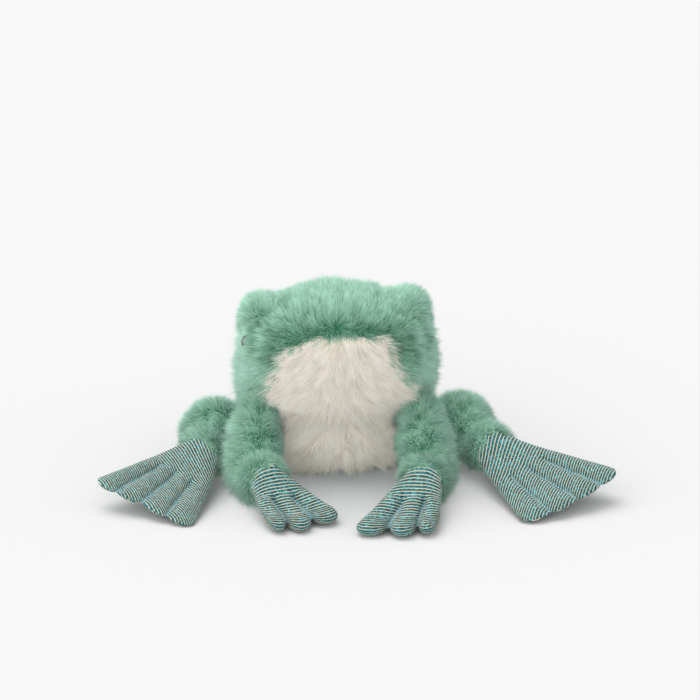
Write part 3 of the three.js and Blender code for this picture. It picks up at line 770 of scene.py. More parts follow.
@dataclass(frozen=True)
class Pile:
    """Short dense pile: every strand is a slim three-sided spike that ends in a point."""

    length: float = 10 * MM
    longest: float = 1.15
    shortest: float = 0.12
    underside: Ramp = Ramp(0.6, 0.95)
    under_loss: float = 0.6
    radius: float = 0.21 * MM
    lift: float = 56.0
    lift_spread: float = 15.0
    lift_limits: tuple[float, float] = (6.0, 90.0)
    upright: float = 86.0
    lying: Ramp = Ramp(0.0, 0.75)
    tuft_size: float = 2.2 * MM
    tuft_share: float = 0.45
    mess: float = 0.42
    floor: float = 0.15 * MM
    tint_spread: float = 0.1
    roundness: float = 0.38

    def draw(self, normals: Array, rng: Rng) -> tuple[Array, Array]:
        """Draws how high strands reach and how long they are, shorter on the underside.

        Args:
            normals: The skin's normals at the strands.
            rng: Source of the draws.

        Returns:
            The heights, from 0 to 1, and the lengths.
        """
        heights = rng.uniform(self.shortest, 1, len(normals)) ** 0.5
        lengths = self.length * self.longest * heights
        return heights, lengths * (1 - self.under_loss * self.underside(-normals[:, 2]))

    def plant(self, name: str, body: str, finish: PlushFinish, strands: Strands, seed: int) -> None:
        """Makes one piece of pile, with each corner's colour and normal.

        Args:
            name: Name of the piece.
            body: Name of the body that it rides on.
            finish: The plush.
            strands: The strands.
            seed: Seed of their mess.
        """
        rng = np.random.default_rng(seed)
        roots, normals, count = strands.roots, strands.normals, len(strands.roots)
        ways = self.ways(strands, seed, rng)
        tips, tuft_tint = self.tuft(roots, roots + ways * strands.lengths[:, None], rng)
        tips[:, 2] = np.maximum(tips[:, 2], self.floor)
        ways = unit(tips - roots)
        spokes = spokes_around(ways, rng)
        radii = self.radius * rng.uniform(0.7, 1.2, (count, 1))
        piece = spike_piece(name, roots, tips, [spoke * radii for spoke in spokes])

        # Painted shade: dark roots, and dark tips on strands that stay low, stand in for the pile's own
        # shadow.
        root_tints, tip_tints = finish.tints(strands.heights, strands.paleness_and_painted_light)
        shade = (1 + self.tint_spread * (tuft_tint + rng.normal(size=count)))[:, None]
        tints = np.clip(np.stack([root_tints * shade] * 3 + [tip_tints * shade], 1), 0, 1).reshape(-1, 3)
        colours = np.concatenate([tints, np.ones((len(tints), 1))], 1).astype(np.float32)
        attribute = piece.data.color_attributes.new("pile_tint", "FLOAT_COLOR", "POINT")
        attribute.data.foreach_set("color", colours.ravel())
        piece.data.color_attributes.active_color = attribute

        outward = normals * (1 - self.roundness)
        bent = [unit(outward + spoke * self.roundness) for spoke in spokes]
        bent.append(unit(outward + ways * self.roundness * 0.5))
        custom = piece.data.attributes.new("custom_normal", "FLOAT_VECTOR", "POINT")
        custom.data.foreach_set("vector", np.stack(bent, 1).astype(np.float32).ravel())
        # The pile casts no shadow and bounces no light; its painted shade stands in for both.
        piece.visible_shadow = piece.visible_diffuse = False
        piece.data.materials.append(finish.pile())
        declare(piece, body)

    def ways(self, strands: Strands, seed: int, rng: Rng) -> Array:
        """Lays strands along their combing, a little messily, and upright where they have none.

        Args:
            strands: The strands.
            seed: Seed of the slow changes of their lift.
            rng: Source of the mess.

        Returns:
            Each strand's direction.
        """
        normals, count = strands.normals, len(strands.roots)
        flat = flatten(unit(strands.combs), normals)
        loose = 1 - self.lying(np.linalg.norm(flat, axis=1))
        lifts = strands.lifts + (self.upright - strands.lifts) * loose
        combs = unit(flatten(unit(unit(flat) + rng.normal(scale=self.mess, size=(count, 3))), normals))
        slow = self.lift_spread * 0.8 * waves(strands.roots, 11 * MM, seed + 1)
        lifts = lifts + slow + rng.normal(scale=self.lift_spread, size=count)
        lifts = np.radians(np.clip(lifts, *self.lift_limits))[:, None]
        return combs * np.cos(lifts) + normals * np.sin(lifts)

    def tuft(self, roots: Array, tips: Array, rng: Rng) -> tuple[Array, Array]:
        """Draws neighbouring tips together in tufts.

        Args:
            roots: Places of the roots.
            tips: Places of the tips.
            rng: Source of the tufts' tints.

        Returns:
            The tips' new places and a tint for each strand.
        """
        bent = roots + drift(roots, 6 * MM, seed=11) * self.tuft_size * 0.4
        cells = np.floor(bent / self.tuft_size).astype(np.int64)
        keys = (cells[:, 0] * 73856093) ^ (cells[:, 1] * 19349663) ^ (cells[:, 2] * 83492791)
        _, tufts = np.unique(keys, return_inverse=True)
        sizes = np.bincount(tufts)
        centres = np.stack([np.bincount(tufts, tips[:, i]) / sizes for i in range(3)], 1)
        share = self.tuft_share * rng.uniform(0.3, 1.0, len(sizes))
        tints = rng.normal(size=len(sizes))
        return tips + (centres[tufts] - tips) * share[tufts][:, None], tints[tufts]


# Eyes.


@dataclass
class Eye:
    """A glossy domed eye on its shank, locked by a washer inside the head."""

    side: str
    radius: float = 5.5 * MM
    dome: float = 5 * MM
    rim: float = 0.8 * MM

    def build(self, plastic: Material, washer: Material) -> None:
        """Replaces the coarse dome by a smooth one.

        Args:
            plastic: Material of the eye.
            washer: Material of the washer.
        """
        shank, dome = self.axis(self.side)
        out = (dome - shank).normalized()
        select_only()
        bpy.ops.mesh.primitive_uv_sphere_add(segments=48, ring_count=24, radius=self.radius)
        piece = bpy.context.active_object
        piece.name = piece.data.name = "eye_dome_" + self.side
        move(piece, places_of(piece), -self.rim)
        turn = Vector((0, 0, 1)).rotation_difference(out).to_matrix().to_4x4()
        flat = Matrix.Diagonal((1, 1, self.dome / self.radius, 1))
        seat = dome - out * (self.dome + self.rim)
        piece.data.transform(Matrix.Translation(seat + out * self.rim) @ turn @ flat)
        shade_smooth(piece)
        piece.data.materials.append(plastic)
        declare(piece, "body", ("eye_" + self.side,))
        ring = frame["nodes"]["eye_washer_" + self.side]
        ring.data.materials.clear()
        ring.data.materials.append(washer)

    @staticmethod
    def axis(side: str) -> tuple[Vector, Vector]:
        """Finds where an eye sits.

        Args:
            side: Side of the eye.

        Returns:
            The end of its shank and the top of its dome.
        """
        places = places_of(frame["nodes"]["eye_" + side])
        centre = places.mean(0)
        way = np.linalg.svd(places - centre, full_matrices=False)[2][0]
        reach = (places - centre) @ way
        wide = np.linalg.norm((places - centre) - reach[:, None] * way, axis=1) > 3 * MM
        if reach[wide].mean() < (reach.min() + reach.max()) / 2:
            way, reach = -way, -reach
        return Vector(centre + way * reach.min()), Vector(centre + way * reach.max())


# Head and body.


@dataclass
class PlushBody:
    """Head and body: one stuffed skin with green and cream pile, and the eye mounds on it.

    The throat's outline is in half widths across and heights up. Ramps are in metres, but those on normals
    and on shares of the width are plain numbers.
    """

    half_width: float = 63 * MM
    density: float = 4.6
    pile: Pile = Pile()
    cream_pile: Pile = Pile(length=12 * MM, lift=27.0, mess=0.26, tuft_share=0.55)
    panels: tuple[str, ...] = (
        *("head_gusset", "side_panel_left", "side_panel_right"),
        *("throat_panel", "belly_panel", "base_panel"),
    )
    nape_from: float = 8 * MM
    crown_from: float = 0.66 * HEIGHT

    throat: tuple[tuple[float, float], ...] = (
        *((-0.6, 0.3), (-0.78, 0.36), (-0.83, 0.45), (-0.76, 0.53), (-0.68, 0.61), (-0.63, 0.69)),
        *((-0.56, 0.775), (-0.2, 0.83), (0.1, 0.835), (0.4, 0.825), (0.6, 0.785), (0.6, 0.7)),
        *((0.66, 0.61), (0.84, 0.51), (0.73, 0.45), (0.68, 0.38), (0.62, 0.3)),
    )
    cream_share: float = 0.85
    cream_centre: float = -0.03
    cream_back: float = -24 * MM
    edge_mess: float = 0.022
    belly_half_width: float = 0.64
    belly_top: float = 0.31

    dome: Ramp = Ramp(0.75 * HEIGHT, 0.9 * HEIGHT)
    crown: Ramp = Ramp(0.84 * HEIGHT, 0.94 * HEIGHT)
    facing: Ramp = Ramp(0.3, 0.75)
    brow_height: Ramp = Ramp(0.6 * HEIGHT, 0.72 * HEIGHT)
    # How sideways a place faces; it masks the painted light on the sides.
    sideways: Ramp = Ramp(0.5, 0.95)
    off_mound: Ramp = Ramp(0.7, 1.2)
    off_lifted: Ramp = Ramp(0.8, 1.2)
    # Where the mounds' painted light fades out.
    off_mound_painted_light: Ramp = Ramp(0.8, 1.3)
    mound_growth: float = 0.1
    front_lift: float = 24.0
    mound_lift: float = 10.0
    fringe_lift: float = -45.0
    # Painted light makes the tips on the mounds and on the sides paler; painted shade makes the tips on the
    # front darker.
    mound_painted_light: float = 0.6
    side_painted_light: float = 0.9
    front_painted_shade: float = -0.55
    green_drift: float = 0.4
    fringe_from: float = 0.72
    fringe_gap: Ramp = Ramp(1 * MM, 6 * MM)
    fringe_side: Ramp = Ramp(0.55, 0.75)

    parting: Ramp = Ramp(0.3 * HEIGHT, 0.5 * HEIGHT)
    wisps_side: Ramp = Ramp(0.45, 0.7)
    wisps_height: Ramp = Ramp(0.3 * HEIGHT, 0.4 * HEIGHT)
    hem: Ramp = Ramp(0.4 * 16 * MM, 16 * MM)
    hem_tuft: tuple[float, float, float] = (21 * MM, -70 * MM, 0.5 * MM)
    tuft_reach: Ramp = Ramp(12 * MM, 20 * MM)
    cream_drift: float = 0.32
    cream_frost: float = 0.35
    wisp_growth: float = 0.35
    raggedness: float = 0.6

    eye_clearing: float = 5.0 * MM
    eye_rim: float = 4.5 * MM
    brow: Ramp = Ramp(0.4 * 13 * MM, 13 * MM)
    brow_ahead: Ramp = Ramp(-0.2, 0.6)
    brow_growth: float = 0.2
    open_brow: float = 0.45
    eye_thin: Ramp = Ramp(6 * MM, 13 * MM)
    eye_flat: Ramp = Ramp(5 * MM, 0.8 * 13 * MM)
    eye_loss: float = 0.4
    eye_lift: float = -30.0
    shag: float = 0.28
    shag_from: Ramp = Ramp(7 * MM, 17 * MM)

    def build(self) -> Piece:
        """Builds the skin and grows the pile on it in regions.

        Returns:
            The skin.
        """
        mounds = tuple(part + name for part in ("eye_mound_", "mound_filling_") for name in SIDES)
        nodes = self.panels + mounds + ("body_filling", "weight_bag")
        rim = Vector((1, 1, 1)) * self.eye_rim
        proud = tuple(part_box("eye_mound_" + name) for name in SIDES)
        washers = (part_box("eye_washer_" + name) for name in SIDES)
        proud += tuple((low - rim, high + rim) for low, high in washers)
        skin = StuffedSkin("body_skin", nodes, "body", 0.8, smoothing=7, proud=proud).build()

        rng = np.random.default_rng(BODY_SEED)
        roots, normals = scatter(skin, self.density, rng)
        keep = (roots[:, 2] > 2.5 * MM) | (normals[:, 2] > -0.8) | (rng.random(len(roots)) < 0.25)
        keep &= self.eye_distance(roots)[0] > self.eye_clearing
        roots, normals = roots[keep], normals[keep]
        cream, mounds = self.is_cream(roots), self.mound_reach(roots)
        above = roots[:, 2] > self.belly_top * HEIGHT
        regions = {"throat_pile": cream & above, "belly_pile": cream & ~above}
        for name, mound in zip(SIDES, mounds):
            regions["mound_pile_" + name] = ~cream & (mound <= 1)
        green = ~cream & (mounds.min(0) > 1)
        back, high = roots[:, 1] > self.nape_from, roots[:, 2] > self.crown_from
        regions["crown_pile"] = green & high & ~back
        regions["nape_pile"] = green & high & back
        for name, side in SIDES.items():
            beside = green & ~high & (roots[:, 0] * side > 0)
            regions["cheek_pile_" + name] = beside & ~back
            regions["rump_pile_" + name] = beside & back
        for number, (name, inside) in enumerate(regions.items()):
            self.grow(name, roots[inside], normals[inside], BODY_SEED + number)
        return skin

    def mound_reach(self, roots: Array) -> Array:
        """Measures roots against the left and the right eye mound: up to 1 they stand on it."""
        boxes = (map(np.array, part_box("eye_mound_" + name)) for name in SIDES)
        return np.stack([reach_in(roots, low, high) for low, high in boxes])

    def eye_distance(self, roots: Array) -> tuple[Array, Array]:
        """Measures roots against the nearer eye's axis.

        Args:
            roots: Places of the roots.

        Returns:
            Each root's distance from the axis, and how much of it lies towards the face.
        """
        best, ahead = np.full(len(roots), 1.0), np.zeros(len(roots))
        for name, side in SIDES.items():
            shank, dome = Eye.axis(name)
            way = np.array((dome - shank).normalized())
            gap = roots - np.array(dome)
            gap -= (gap @ way)[:, None] * way[None, :]
            distance = np.linalg.norm(gap, axis=1)
            distance[roots[:, 0] * side < 0] = 1.0
            nearer = distance < best
            best[nearer] = distance[nearer]
            ahead[nearer] = -gap[nearer, 1] / np.maximum(distance[nearer], 1e-9)
        return best, ahead

    def cream_across(self, roots: Array) -> Array:
        """Says how far across the cream cloth roots stand."""
        return (roots[:, 0] / self.half_width - self.cream_centre) / self.cream_share

    def is_cream(self, roots: Array) -> Array:
        """Says which roots stand on the throat's or the belly's cream cloth.

        Args:
            roots: Places of the roots.

        Returns:
            True for each root on cream cloth.
        """
        x = self.cream_across(roots) + self.edge_mess * waves(roots, 5 * MM, seed=71)
        z = roots[:, 2] / HEIGHT + self.edge_mess * 0.2 * waves(roots, 5 * MM, seed=72)
        inside = np.zeros(len(roots), bool)
        outline = self.smooth_outline()
        for (x0, z0), (x1, z1) in zip(outline, np.roll(outline, -1, axis=0)):
            inside ^= ((z0 > z) != (z1 > z)) & (x < (x1 - x0) * (z - z0) / (z1 - z0 + 1e-12) + x0)
        belly = (np.abs(x) < self.belly_half_width) & (z < self.belly_top + 0.02)
        return (inside | belly) & (roots[:, 1] < self.cream_back)

    def smooth_outline(self, rounds: int = 3) -> Array:
        """Rounds the corners of the throat's outline.

        Args:
            rounds: How often each corner is cut.

        Returns:
            The outline's points.
        """
        points = np.array(self.throat)
        for _ in range(rounds):
            ahead = np.roll(points, -1, axis=0)
            points = np.stack([points * 0.75 + ahead * 0.25, points * 0.25 + ahead * 0.75], 1).reshape(-1, 2)
        return points

    def grow(self, name: str, roots: Array, normals: Array, seed: int) -> None:
        """Grows one region's pile.

        Args:
            name: Name of the piece.
            roots: Places of the strands.
            normals: The skin's normals there.
            seed: Seed of the pile's mess.
        """
        cream = name in ("throat_pile", "belly_pile")
        pile, finish = (self.cream_pile, CREAM_PLUSH) if cream else (self.pile, GREEN_PLUSH)
        heights, lengths = pile.draw(normals, np.random.default_rng(seed))
        dome = self.dome(roots[:, 2])
        lengths *= 1 + dome * (0.2 - 0.9 * np.minimum(np.abs(roots[:, 0] / self.half_width), 0.5))
        mound = 1 - self.off_mound(self.mound_reach(roots).min(0))
        up, aside = np.maximum(normals[:, 2], 0), np.abs(normals[:, 0])
        lengths *= 1 + mound * (self.mound_growth * up - self.mound_growth * aside)
        if cream:
            combs, lengths = self.lay_cream(roots, heights, lengths)
            lifts, paleness_and_painted_light = np.full(len(roots), pile.lift), self.cream_frost
        else:
            combs, lifts, paleness_and_painted_light = self.lay_green(roots, normals)

        distance, ahead = self.eye_distance(roots)
        brow = (1 - self.brow(distance)) * self.brow_ahead(ahead)
        brow *= np.where(roots[:, 0] < 0, self.open_brow, 1.0)
        lengths *= 1 + self.brow_growth * brow
        lengths *= 1 - self.eye_loss * (1 - self.eye_thin(distance)) * (1 - brow)
        shag = self.shag * (1 - 0.7 * dome) * self.shag_from(distance)
        lengths *= 1 + shag * waves(roots, 4.5 * MM, seed=91)
        lifts += self.eye_lift * (1 - self.eye_flat(distance)) * (1 - brow)
        strands = Strands(roots, normals, combs, lengths, lifts, heights, paleness_and_painted_light)
        pile.plant(name, "body", finish, strands, seed)

    def lay_green(self, roots: Array, normals: Array) -> tuple[Array, Array, Array]:
        """Combs the green pile out from the face, back over the crown, down the sides and over the throat.

        Args:
            roots: Places of the strands.
            normals: The skin's normals there.

        Returns:
            The combing directions, the lifts, and how much paler or darker the strands are: painted light on
            the sides and on the mounds, painted shade on the front.
        """
        x, crown = roots[:, 0] / self.half_width, self.crown(roots[:, 2])
        combs = np.stack([x * (1.1 - 0.3 * crown), 0.3 + 0.4 * crown, -0.45 + 0.75 * crown], 1)
        combs += drift(roots, 16 * MM, seed=31) * self.green_drift
        fringe = self.fringe(roots)
        down = np.stack([0.3 * x, 0 * x, 0 * x - 1], 1)
        combs = combs * (1 - fringe[:, None]) + down * fringe[:, None]

        reach = self.mound_reach(roots).min(0)
        front = self.facing(-normals[:, 1]) * self.brow_height(roots[:, 2])
        lifts = np.maximum(self.front_lift * front, self.mound_lift * (1 - self.off_lifted(reach)))
        lifts = self.pile.lift + lifts + self.fringe_lift * fringe
        # Painted light: paler tips on the mounds and on the sides. Painted shade: darker tips on the front.
        mound, beside = 1 - self.off_mound_painted_light(reach), self.sideways(np.abs(normals[:, 0]))
        paleness_and_painted_light = np.maximum(self.mound_painted_light * mound, self.side_painted_light * beside)
        paleness_and_painted_light += self.front_painted_shade * front * (1 - mound) * (1 - beside)
        return combs, lifts, paleness_and_painted_light

    def fringe(self, roots: Array) -> Array:
        """Says how much roots belong to the fringe that falls over the throat's upper edge.

        Args:
            roots: Places of the roots.

        Returns:
            Shares from 0 to 1.
        """
        outline = self.smooth_outline()
        upper = outline[outline[:, 1] > self.fringe_from]
        upper = upper[np.argsort(upper[:, 0])]
        x = self.cream_across(roots)
        gap = roots[:, 2] - np.interp(x, upper[:, 0], upper[:, 1]) * HEIGHT
        beside = 1 - self.fringe_side(np.abs(x))
        return (1 - self.fringe_gap(gap)) * beside * (roots[:, 1] < self.cream_back)

    def lay_cream(self, roots: Array, heights: Array, lengths: Array) -> tuple[Array, Array]:
        """Combs the cream pile down from a parting, with side wisps, a ragged hem and a pointed tuft at it.

        Args:
            roots: Places of the strands.
            heights: How high they reach, from 0 to 1.
            lengths: Their lengths so far.

        Returns:
            The combing directions and the new lengths.
        """
        x, z = roots[:, 0] / self.half_width, roots[:, 2]
        spread = np.tanh((x - 0.02) * 3) * (0.35 + 0.75 * self.parting(z)) + x * 0.6
        combs = np.stack([spread, np.full(len(x), 0.1), -0.65 + 0 * x], 1)
        combs += drift(roots, 16 * MM, seed=31) * self.cream_drift
        to_tuft = np.array(self.hem_tuft) - roots
        distance = np.linalg.norm(to_tuft, axis=1)
        tuft = 1 - self.tuft_reach(distance)
        combs = combs * (1 - tuft[:, None]) + unit(to_tuft) * tuft[:, None]

        wisps = self.wisp_growth * self.wisps_side(np.abs(x - self.cream_centre)) * self.wisps_height(z)
        ragged = self.raggedness * waves(roots * np.array([1.0, 0.2, 0.2]), 11 * MM, seed=77)
        lengths = lengths * (1 + wisps + (1 - self.hem(z)) * ragged) * (1 - tuft)
        return combs, lengths + distance * np.minimum(heights * 1.2, 1) * tuft


# Paws.


@dataclass(frozen=True)
class PawShape:
    """What the two hands, or the two feet, share."""

    parts: tuple[str, ...]
    toes: int
    rows: int
    ball: float
    thin: float
    notch: float
    drop: float
    sink: float
    columns: int = 8


HAND = PawShape(("upper", "palm", "filling"), 3, 34, 12 * MM, 5.8 * MM, 9 * MM, drop=5 * MM, sink=1.7 * MM)
FOOT = PawShape(("upper", "sole", "filling"), 4, 44, 12.5 * MM, 5 * MM, 1.4 * MM, drop=2 * MM, sink=1.2 * MM)


@dataclass
class Paw:
    """A flat stuffed pouch of striped cloth, stitched apart into toes.

    Its root, length and stripe pitch are given in millimetres, its angles in degrees. A place on it is u
    across from -1 to 1, v along from -1 behind the root's ball to 1 at the toes, and w above its middle.
    """

    name: str
    shape: PawShape
    root: Vector
    heading: float
    roll: float
    length: float
    splay: tuple[float, float]
    reach: tuple[float, float]
    pitch: float
    grain: float | None = None
    toeness: Ramp = Ramp(0.36, 0.52)
    dropping: Ramp = Ramp(0, 0.85)
    taper: float = 0.44
    tip: float = 0.16
    seam_from: float = 0.43
    seam_half: float = 0.8 * MM
    rib_height: float = 0.36 * MM
    pucker: float = 0.35 * MM
    stitch_pitch: float = 2.6 * MM
    lowest: float = 0.1 * MM
    corner: float = 0.08
    gather_from: float = 0.85
    tip_gather: float = 1.6
    grain_curve: float = 0.45
    loose_threads: int = 4
    threads_from: float = 0.97
    thread_radius: float = 0.12 * MM
    thread_length: float = 5.5 * MM

    def __post_init__(self) -> None:
        """Turns the millimetres into metres."""
        self.root, self.length, self.pitch = Vector(self.root) * MM, self.length * MM, self.pitch * MM

    def way(self) -> Vector:
        """The level direction in which the paw points."""
        turn = math.radians(self.heading)
        return Vector((math.cos(turn), math.sin(turn), 0))

    def lobe(self, u: Array) -> Array:
        """How full the toes are at a place across the paw."""
        return np.abs(np.sin(np.pi * (u + 1) * self.shape.toes / 2))

    def half_thickness(self, u: Array, v: Array) -> Array:
        """Says how thick the paw is.

        Args:
            u: Places across.
            v: Places along.

        Returns:
            Half the thickness there.
        """
        ball, thin = self.shape.ball, self.shape.thin
        round_edge = np.sqrt(np.maximum(0, 1 - u * u))
        behind = ball * np.cos(np.minimum(v, 0) * np.pi / 2) * round_edge
        depth = thin + (ball - thin) * np.maximum(0, 1 - v / self.taper) ** 2
        seam = self.seam_half / thin
        toe = (seam + (1 - seam) * self.lobe(u) ** 0.7) * np.sqrt(np.maximum(0, 1 - u**8))
        tip = np.maximum(0, (v - 1) / self.tip + 1)
        ahead = depth * (round_edge + (toe - round_edge) * self.toeness(v))
        ahead *= np.sqrt(np.maximum(0, 1 - tip * tip))
        return np.where(v < 0, behind, ahead)

    def place(self, u: Array, v: Array, w: Array) -> Array:
        """Finds places before the paw is turned.

        Args:
            u: Places across.
            v: Places along.
            w: Heights above the pouch's middle.

        Returns:
            The points in metres.
        """
        shape = self.shape
        turn = np.minimum(v, 0) * np.pi / 2
        behind = np.stack([shape.ball * np.sin(turn), shape.ball * np.cos(turn) * u, w], -1)
        notch = shape.notch * (1 - np.sqrt(self.lobe(u))) * self.toeness(v)
        reach = np.where(u < 0, self.reach[0], self.reach[1])
        length = self.length * (1 + (reach - 1) * np.abs(u) - self.corner * u**10) - notch
        edge = np.radians(np.where(u < 0, self.splay[0], self.splay[1])) * u
        out = shape.ball * u + np.maximum(v, 0) ** 0.9 * length * np.sin(edge)
        ahead = np.stack([v * length * np.cos(edge), out, w - shape.drop * self.dropping(v)], -1)
        return np.where(v[..., None] < 0, behind, ahead)

    def matrix(self) -> Array:
        """Finds the paw's place: on its root, lowered until the toes rest on the floor.

        Returns:
            The 4 by 4 matrix.
        """
        shape, roll = self.shape, math.radians(self.roll)
        half_span = shape.ball + self.length * math.sin(math.radians(max(self.splay)))
        low = self.root.z - shape.drop - (shape.thin - shape.sink + 0.6 * half_span * abs(math.sin(roll)))
        pitch = math.asin(low / self.length)
        turn = Matrix.Rotation(math.radians(self.heading), 4, "Z") @ Matrix.Rotation(pitch, 4, "Y")
        return np.array(Matrix.Translation(self.root) @ (turn @ Matrix.Rotation(roll, 4, "X")))

    def set_down(self, places: Array) -> Array:
        """Turns places and puts them on the paw's root."""
        turned = self.matrix()
        return places @ turned[:3, :3].T + turned[:3, 3]

    def grid(self) -> tuple[Array, Array, Array]:
        """Lays out the rows and columns of the pouch.

        Returns:
            u and v of every grid place, and v's distance along the cloth in metres.
        """
        shape, bare = self.shape, self.shape.rows // 4
        straight = np.linspace(0, 1 - self.tip, shape.rows - bare)
        rounding = 1 - self.tip + self.tip * np.sin(np.linspace(0, np.pi / 2, 7))[1:]
        rows = np.concatenate([np.linspace(-1, 0, bare, endpoint=False), straight, rounding])
        u, v = np.meshgrid(np.linspace(-1, 1, shape.toes * shape.columns + 1), rows)
        half = self.half_thickness(np.full_like(rows, 0.5 / shape.toes), rows)
        steps = np.linalg.norm(np.diff(self.place(np.zeros_like(rows), rows, half), axis=0), axis=1)
        steps = np.where(rows[1:] > self.gather_from, steps * self.tip_gather, steps)
        return u, v, np.concatenate([[0], np.cumsum(steps)])

    @staticmethod
    def wrapped(upper: Array, lower: Array) -> Array:
        """Joins rows on the upper and on the lower cloth into rings around the pouch."""
        return np.concatenate([upper, lower[:, -2:0:-1]], 1)

    def marks(self, u: Array, v: Array, along: Array, ring: Array) -> dict[str, Array]:
        """Says how the cloth's rows run and where its seams are.

        Args:
            u: The grid's places across.
            v: The grid's places along.
            along: Distances of the grid's rows along the cloth.
            ring: The pouch's points before it is turned.

        Returns:
            The values at the pouch's corners for each attribute.
        """
        rows, around = ring.shape[:2]
        rib = np.repeat(along / self.pitch, around)
        steps = np.linalg.norm(np.diff(ring[rows // 2], axis=0), axis=1)
        across = np.tile(np.concatenate([[0], np.cumsum(steps)]), rows)
        rib_side = across_side = np.zeros(rows * around)
        if self.grain is not None:
            turn = math.radians(self.grain - self.heading)
            x, y = ring[..., 0].ravel(), ring[..., 1].ravel()
            bent = x + self.grain_curve * np.maximum(x, 0) ** 2 / (2 * self.length * abs(math.cos(turn)))
            rib, rib_side = bent * math.cos(turn) / self.pitch, y * math.sin(turn) / self.pitch
            across, across_side = y * math.cos(turn), -x * math.sin(turn)
        sheet = self.wrapped(np.ones_like(u), -np.ones_like(u))
        sheet[:, [0, u.shape[1] - 1]] = 0
        sheet[-1] = 0
        u_ring, v_ring = self.wrapped(u, u).ravel(), self.wrapped(v, v).ravel()
        seam = (self.lobe(u_ring) < 1e-6) & (np.abs(u_ring) < 0.999) & (v_ring > self.seam_from)
        marks = {"rib": rib, "rib_side": rib_side, "across": across, "across_side": across_side}
        return marks | {"seam": seam.astype(float), "sheet": sheet.ravel()}

    def build(self, cloth: Material, thread: Material, seed: int) -> None:
        """Builds the pouch with its ribs, seams and loose thread ends.

        Args:
            cloth: Material of its striped cloth.
            thread: Material of its sewing thread.
            seed: Seed of the thread ends.
        """
        u, v, along = self.grid()
        half = np.maximum(self.half_thickness(u, v), 0.0)
        ring = self.wrapped(self.place(u, v, half), self.place(u, v, -half))
        indices = np.arange(ring[..., 0].size).reshape(ring.shape[:2])
        near, far = indices[:-1], indices[1:]
        quads = np.stack([near, np.roll(near, -1, 1), np.roll(far, -1, 1), far], -1).reshape(-1, 4)
        piece = mesh_piece(self.name + "_cloth", self.set_down(ring.reshape(-1, 3)), quads)
        for mark, values in self.marks(u, v, along, ring).items():
            attribute = piece.data.attributes.new(mark, "FLOAT", "POINT")
            attribute.data.foreach_set("value", values.astype(np.float32))
        self.close(piece)
        modify(piece, "SUBSURF", levels=2, render_levels=2)
        self.emboss(piece)
        shade_smooth(piece)
        piece.data.materials.append(cloth)
        kind, side = self.name.split("_")
        nodes = tuple(f"{kind}_{part}_{side}" for part in self.shape.parts)
        declare(piece, self.name, nodes)
        self.fray(thread, seed)

    def close(self, piece: Piece) -> None:
        """Merges the pouch's closed ends and turns its faces outwards.

        Args:
            piece: The pouch.
        """
        shell = bmesh.new()
        shell.from_mesh(piece.data)
        bmesh.ops.remove_doubles(shell, verts=shell.verts, dist=0.02 * MM)
        bmesh.ops.recalc_face_normals(shell, faces=shell.faces)
        shell.to_mesh(piece.data)
        shell.free()

    def emboss(self, piece: Piece) -> None:
        """Raises the cloth's ribs and puckers its seams.

        Args:
            piece: The pouch.
        """
        names = ("rib", "rib_side", "seam", "sheet")
        marks = (read(piece.data.attributes[name].data, "value", 1)[:, 0] for name in names)
        rib, rib_side, seam, sheet = marks
        rib += np.sign(sheet) * rib_side
        phase = np.cos((rib % 1.0 - 0.5) * 2 * np.pi)
        pinch = np.abs(np.sin(np.pi * rib * self.pitch / self.stitch_pitch))
        height = self.rib_height * (phase - 0.5) * 0.5 * (1 - seam) - self.pucker * seam * (0.6 + 0.6 * pinch)
        move(piece, places_of(piece) + normals_of(piece) * height[:, None], self.lowest)

    def fray(self, thread: Material, seed: int) -> None:
        """Adds the loose ends of the sewing thread where the toes' seams end.

        Args:
            thread: The thread's material.
            seed: Seed of the ends' directions and lengths.
        """
        rng = np.random.default_rng(seed)
        u = np.repeat(np.linspace(-1, 1, self.shape.toes + 1)[1:-1], self.loose_threads)
        count = len(u)
        roots = self.set_down(self.place(u, np.full(count, self.threads_from), np.zeros(count)))
        ways = unit(self.matrix()[:3, 0] + rng.normal(scale=0.7, size=(count, 3)))
        tips = roots + ways * self.thread_length * rng.uniform(0.6, 1.3, (count, 1))
        tips[:, 2] = np.maximum(tips[:, 2], self.thread_radius * 2)
        arms = [spoke * self.thread_radius for spoke in spokes_around(ways, rng)]
        piece = spike_piece(self.name + "_threads", roots, tips, arms, closed=True)
        piece.data.materials.append(thread)
        declare(piece, self.name)


LEFT_HAND, RIGHT_HAND, LEFT_FOOT, RIGHT_FOOT = PAWS = (
    Paw("hand_left", HAND, (49.487, -93.340, 16.5), -109.5, 0.0, 56.0, (20.5, 10.5), (1.15, 0.84), 2.8),
    Paw("hand_right", HAND, (-49.470, -86.935, 16.5), -66.0, 0.0, 52.0, (9.0, 24.0), (0.83, 1.0), 2.7),
    Paw("foot_left", FOOT, (95.965, -51.586, 20), -53.5, 13.5, 80.0, (21.0, 20.0), (0.96, 1.06), 2.25, -18.0),
    Paw("foot_right", FOOT, (-87.965, -47.586, 20), -126.5, -13.5, 67.0, (20.5, 22.0), (1.1, 1.06), 1.85, 20),
)


# Legs.


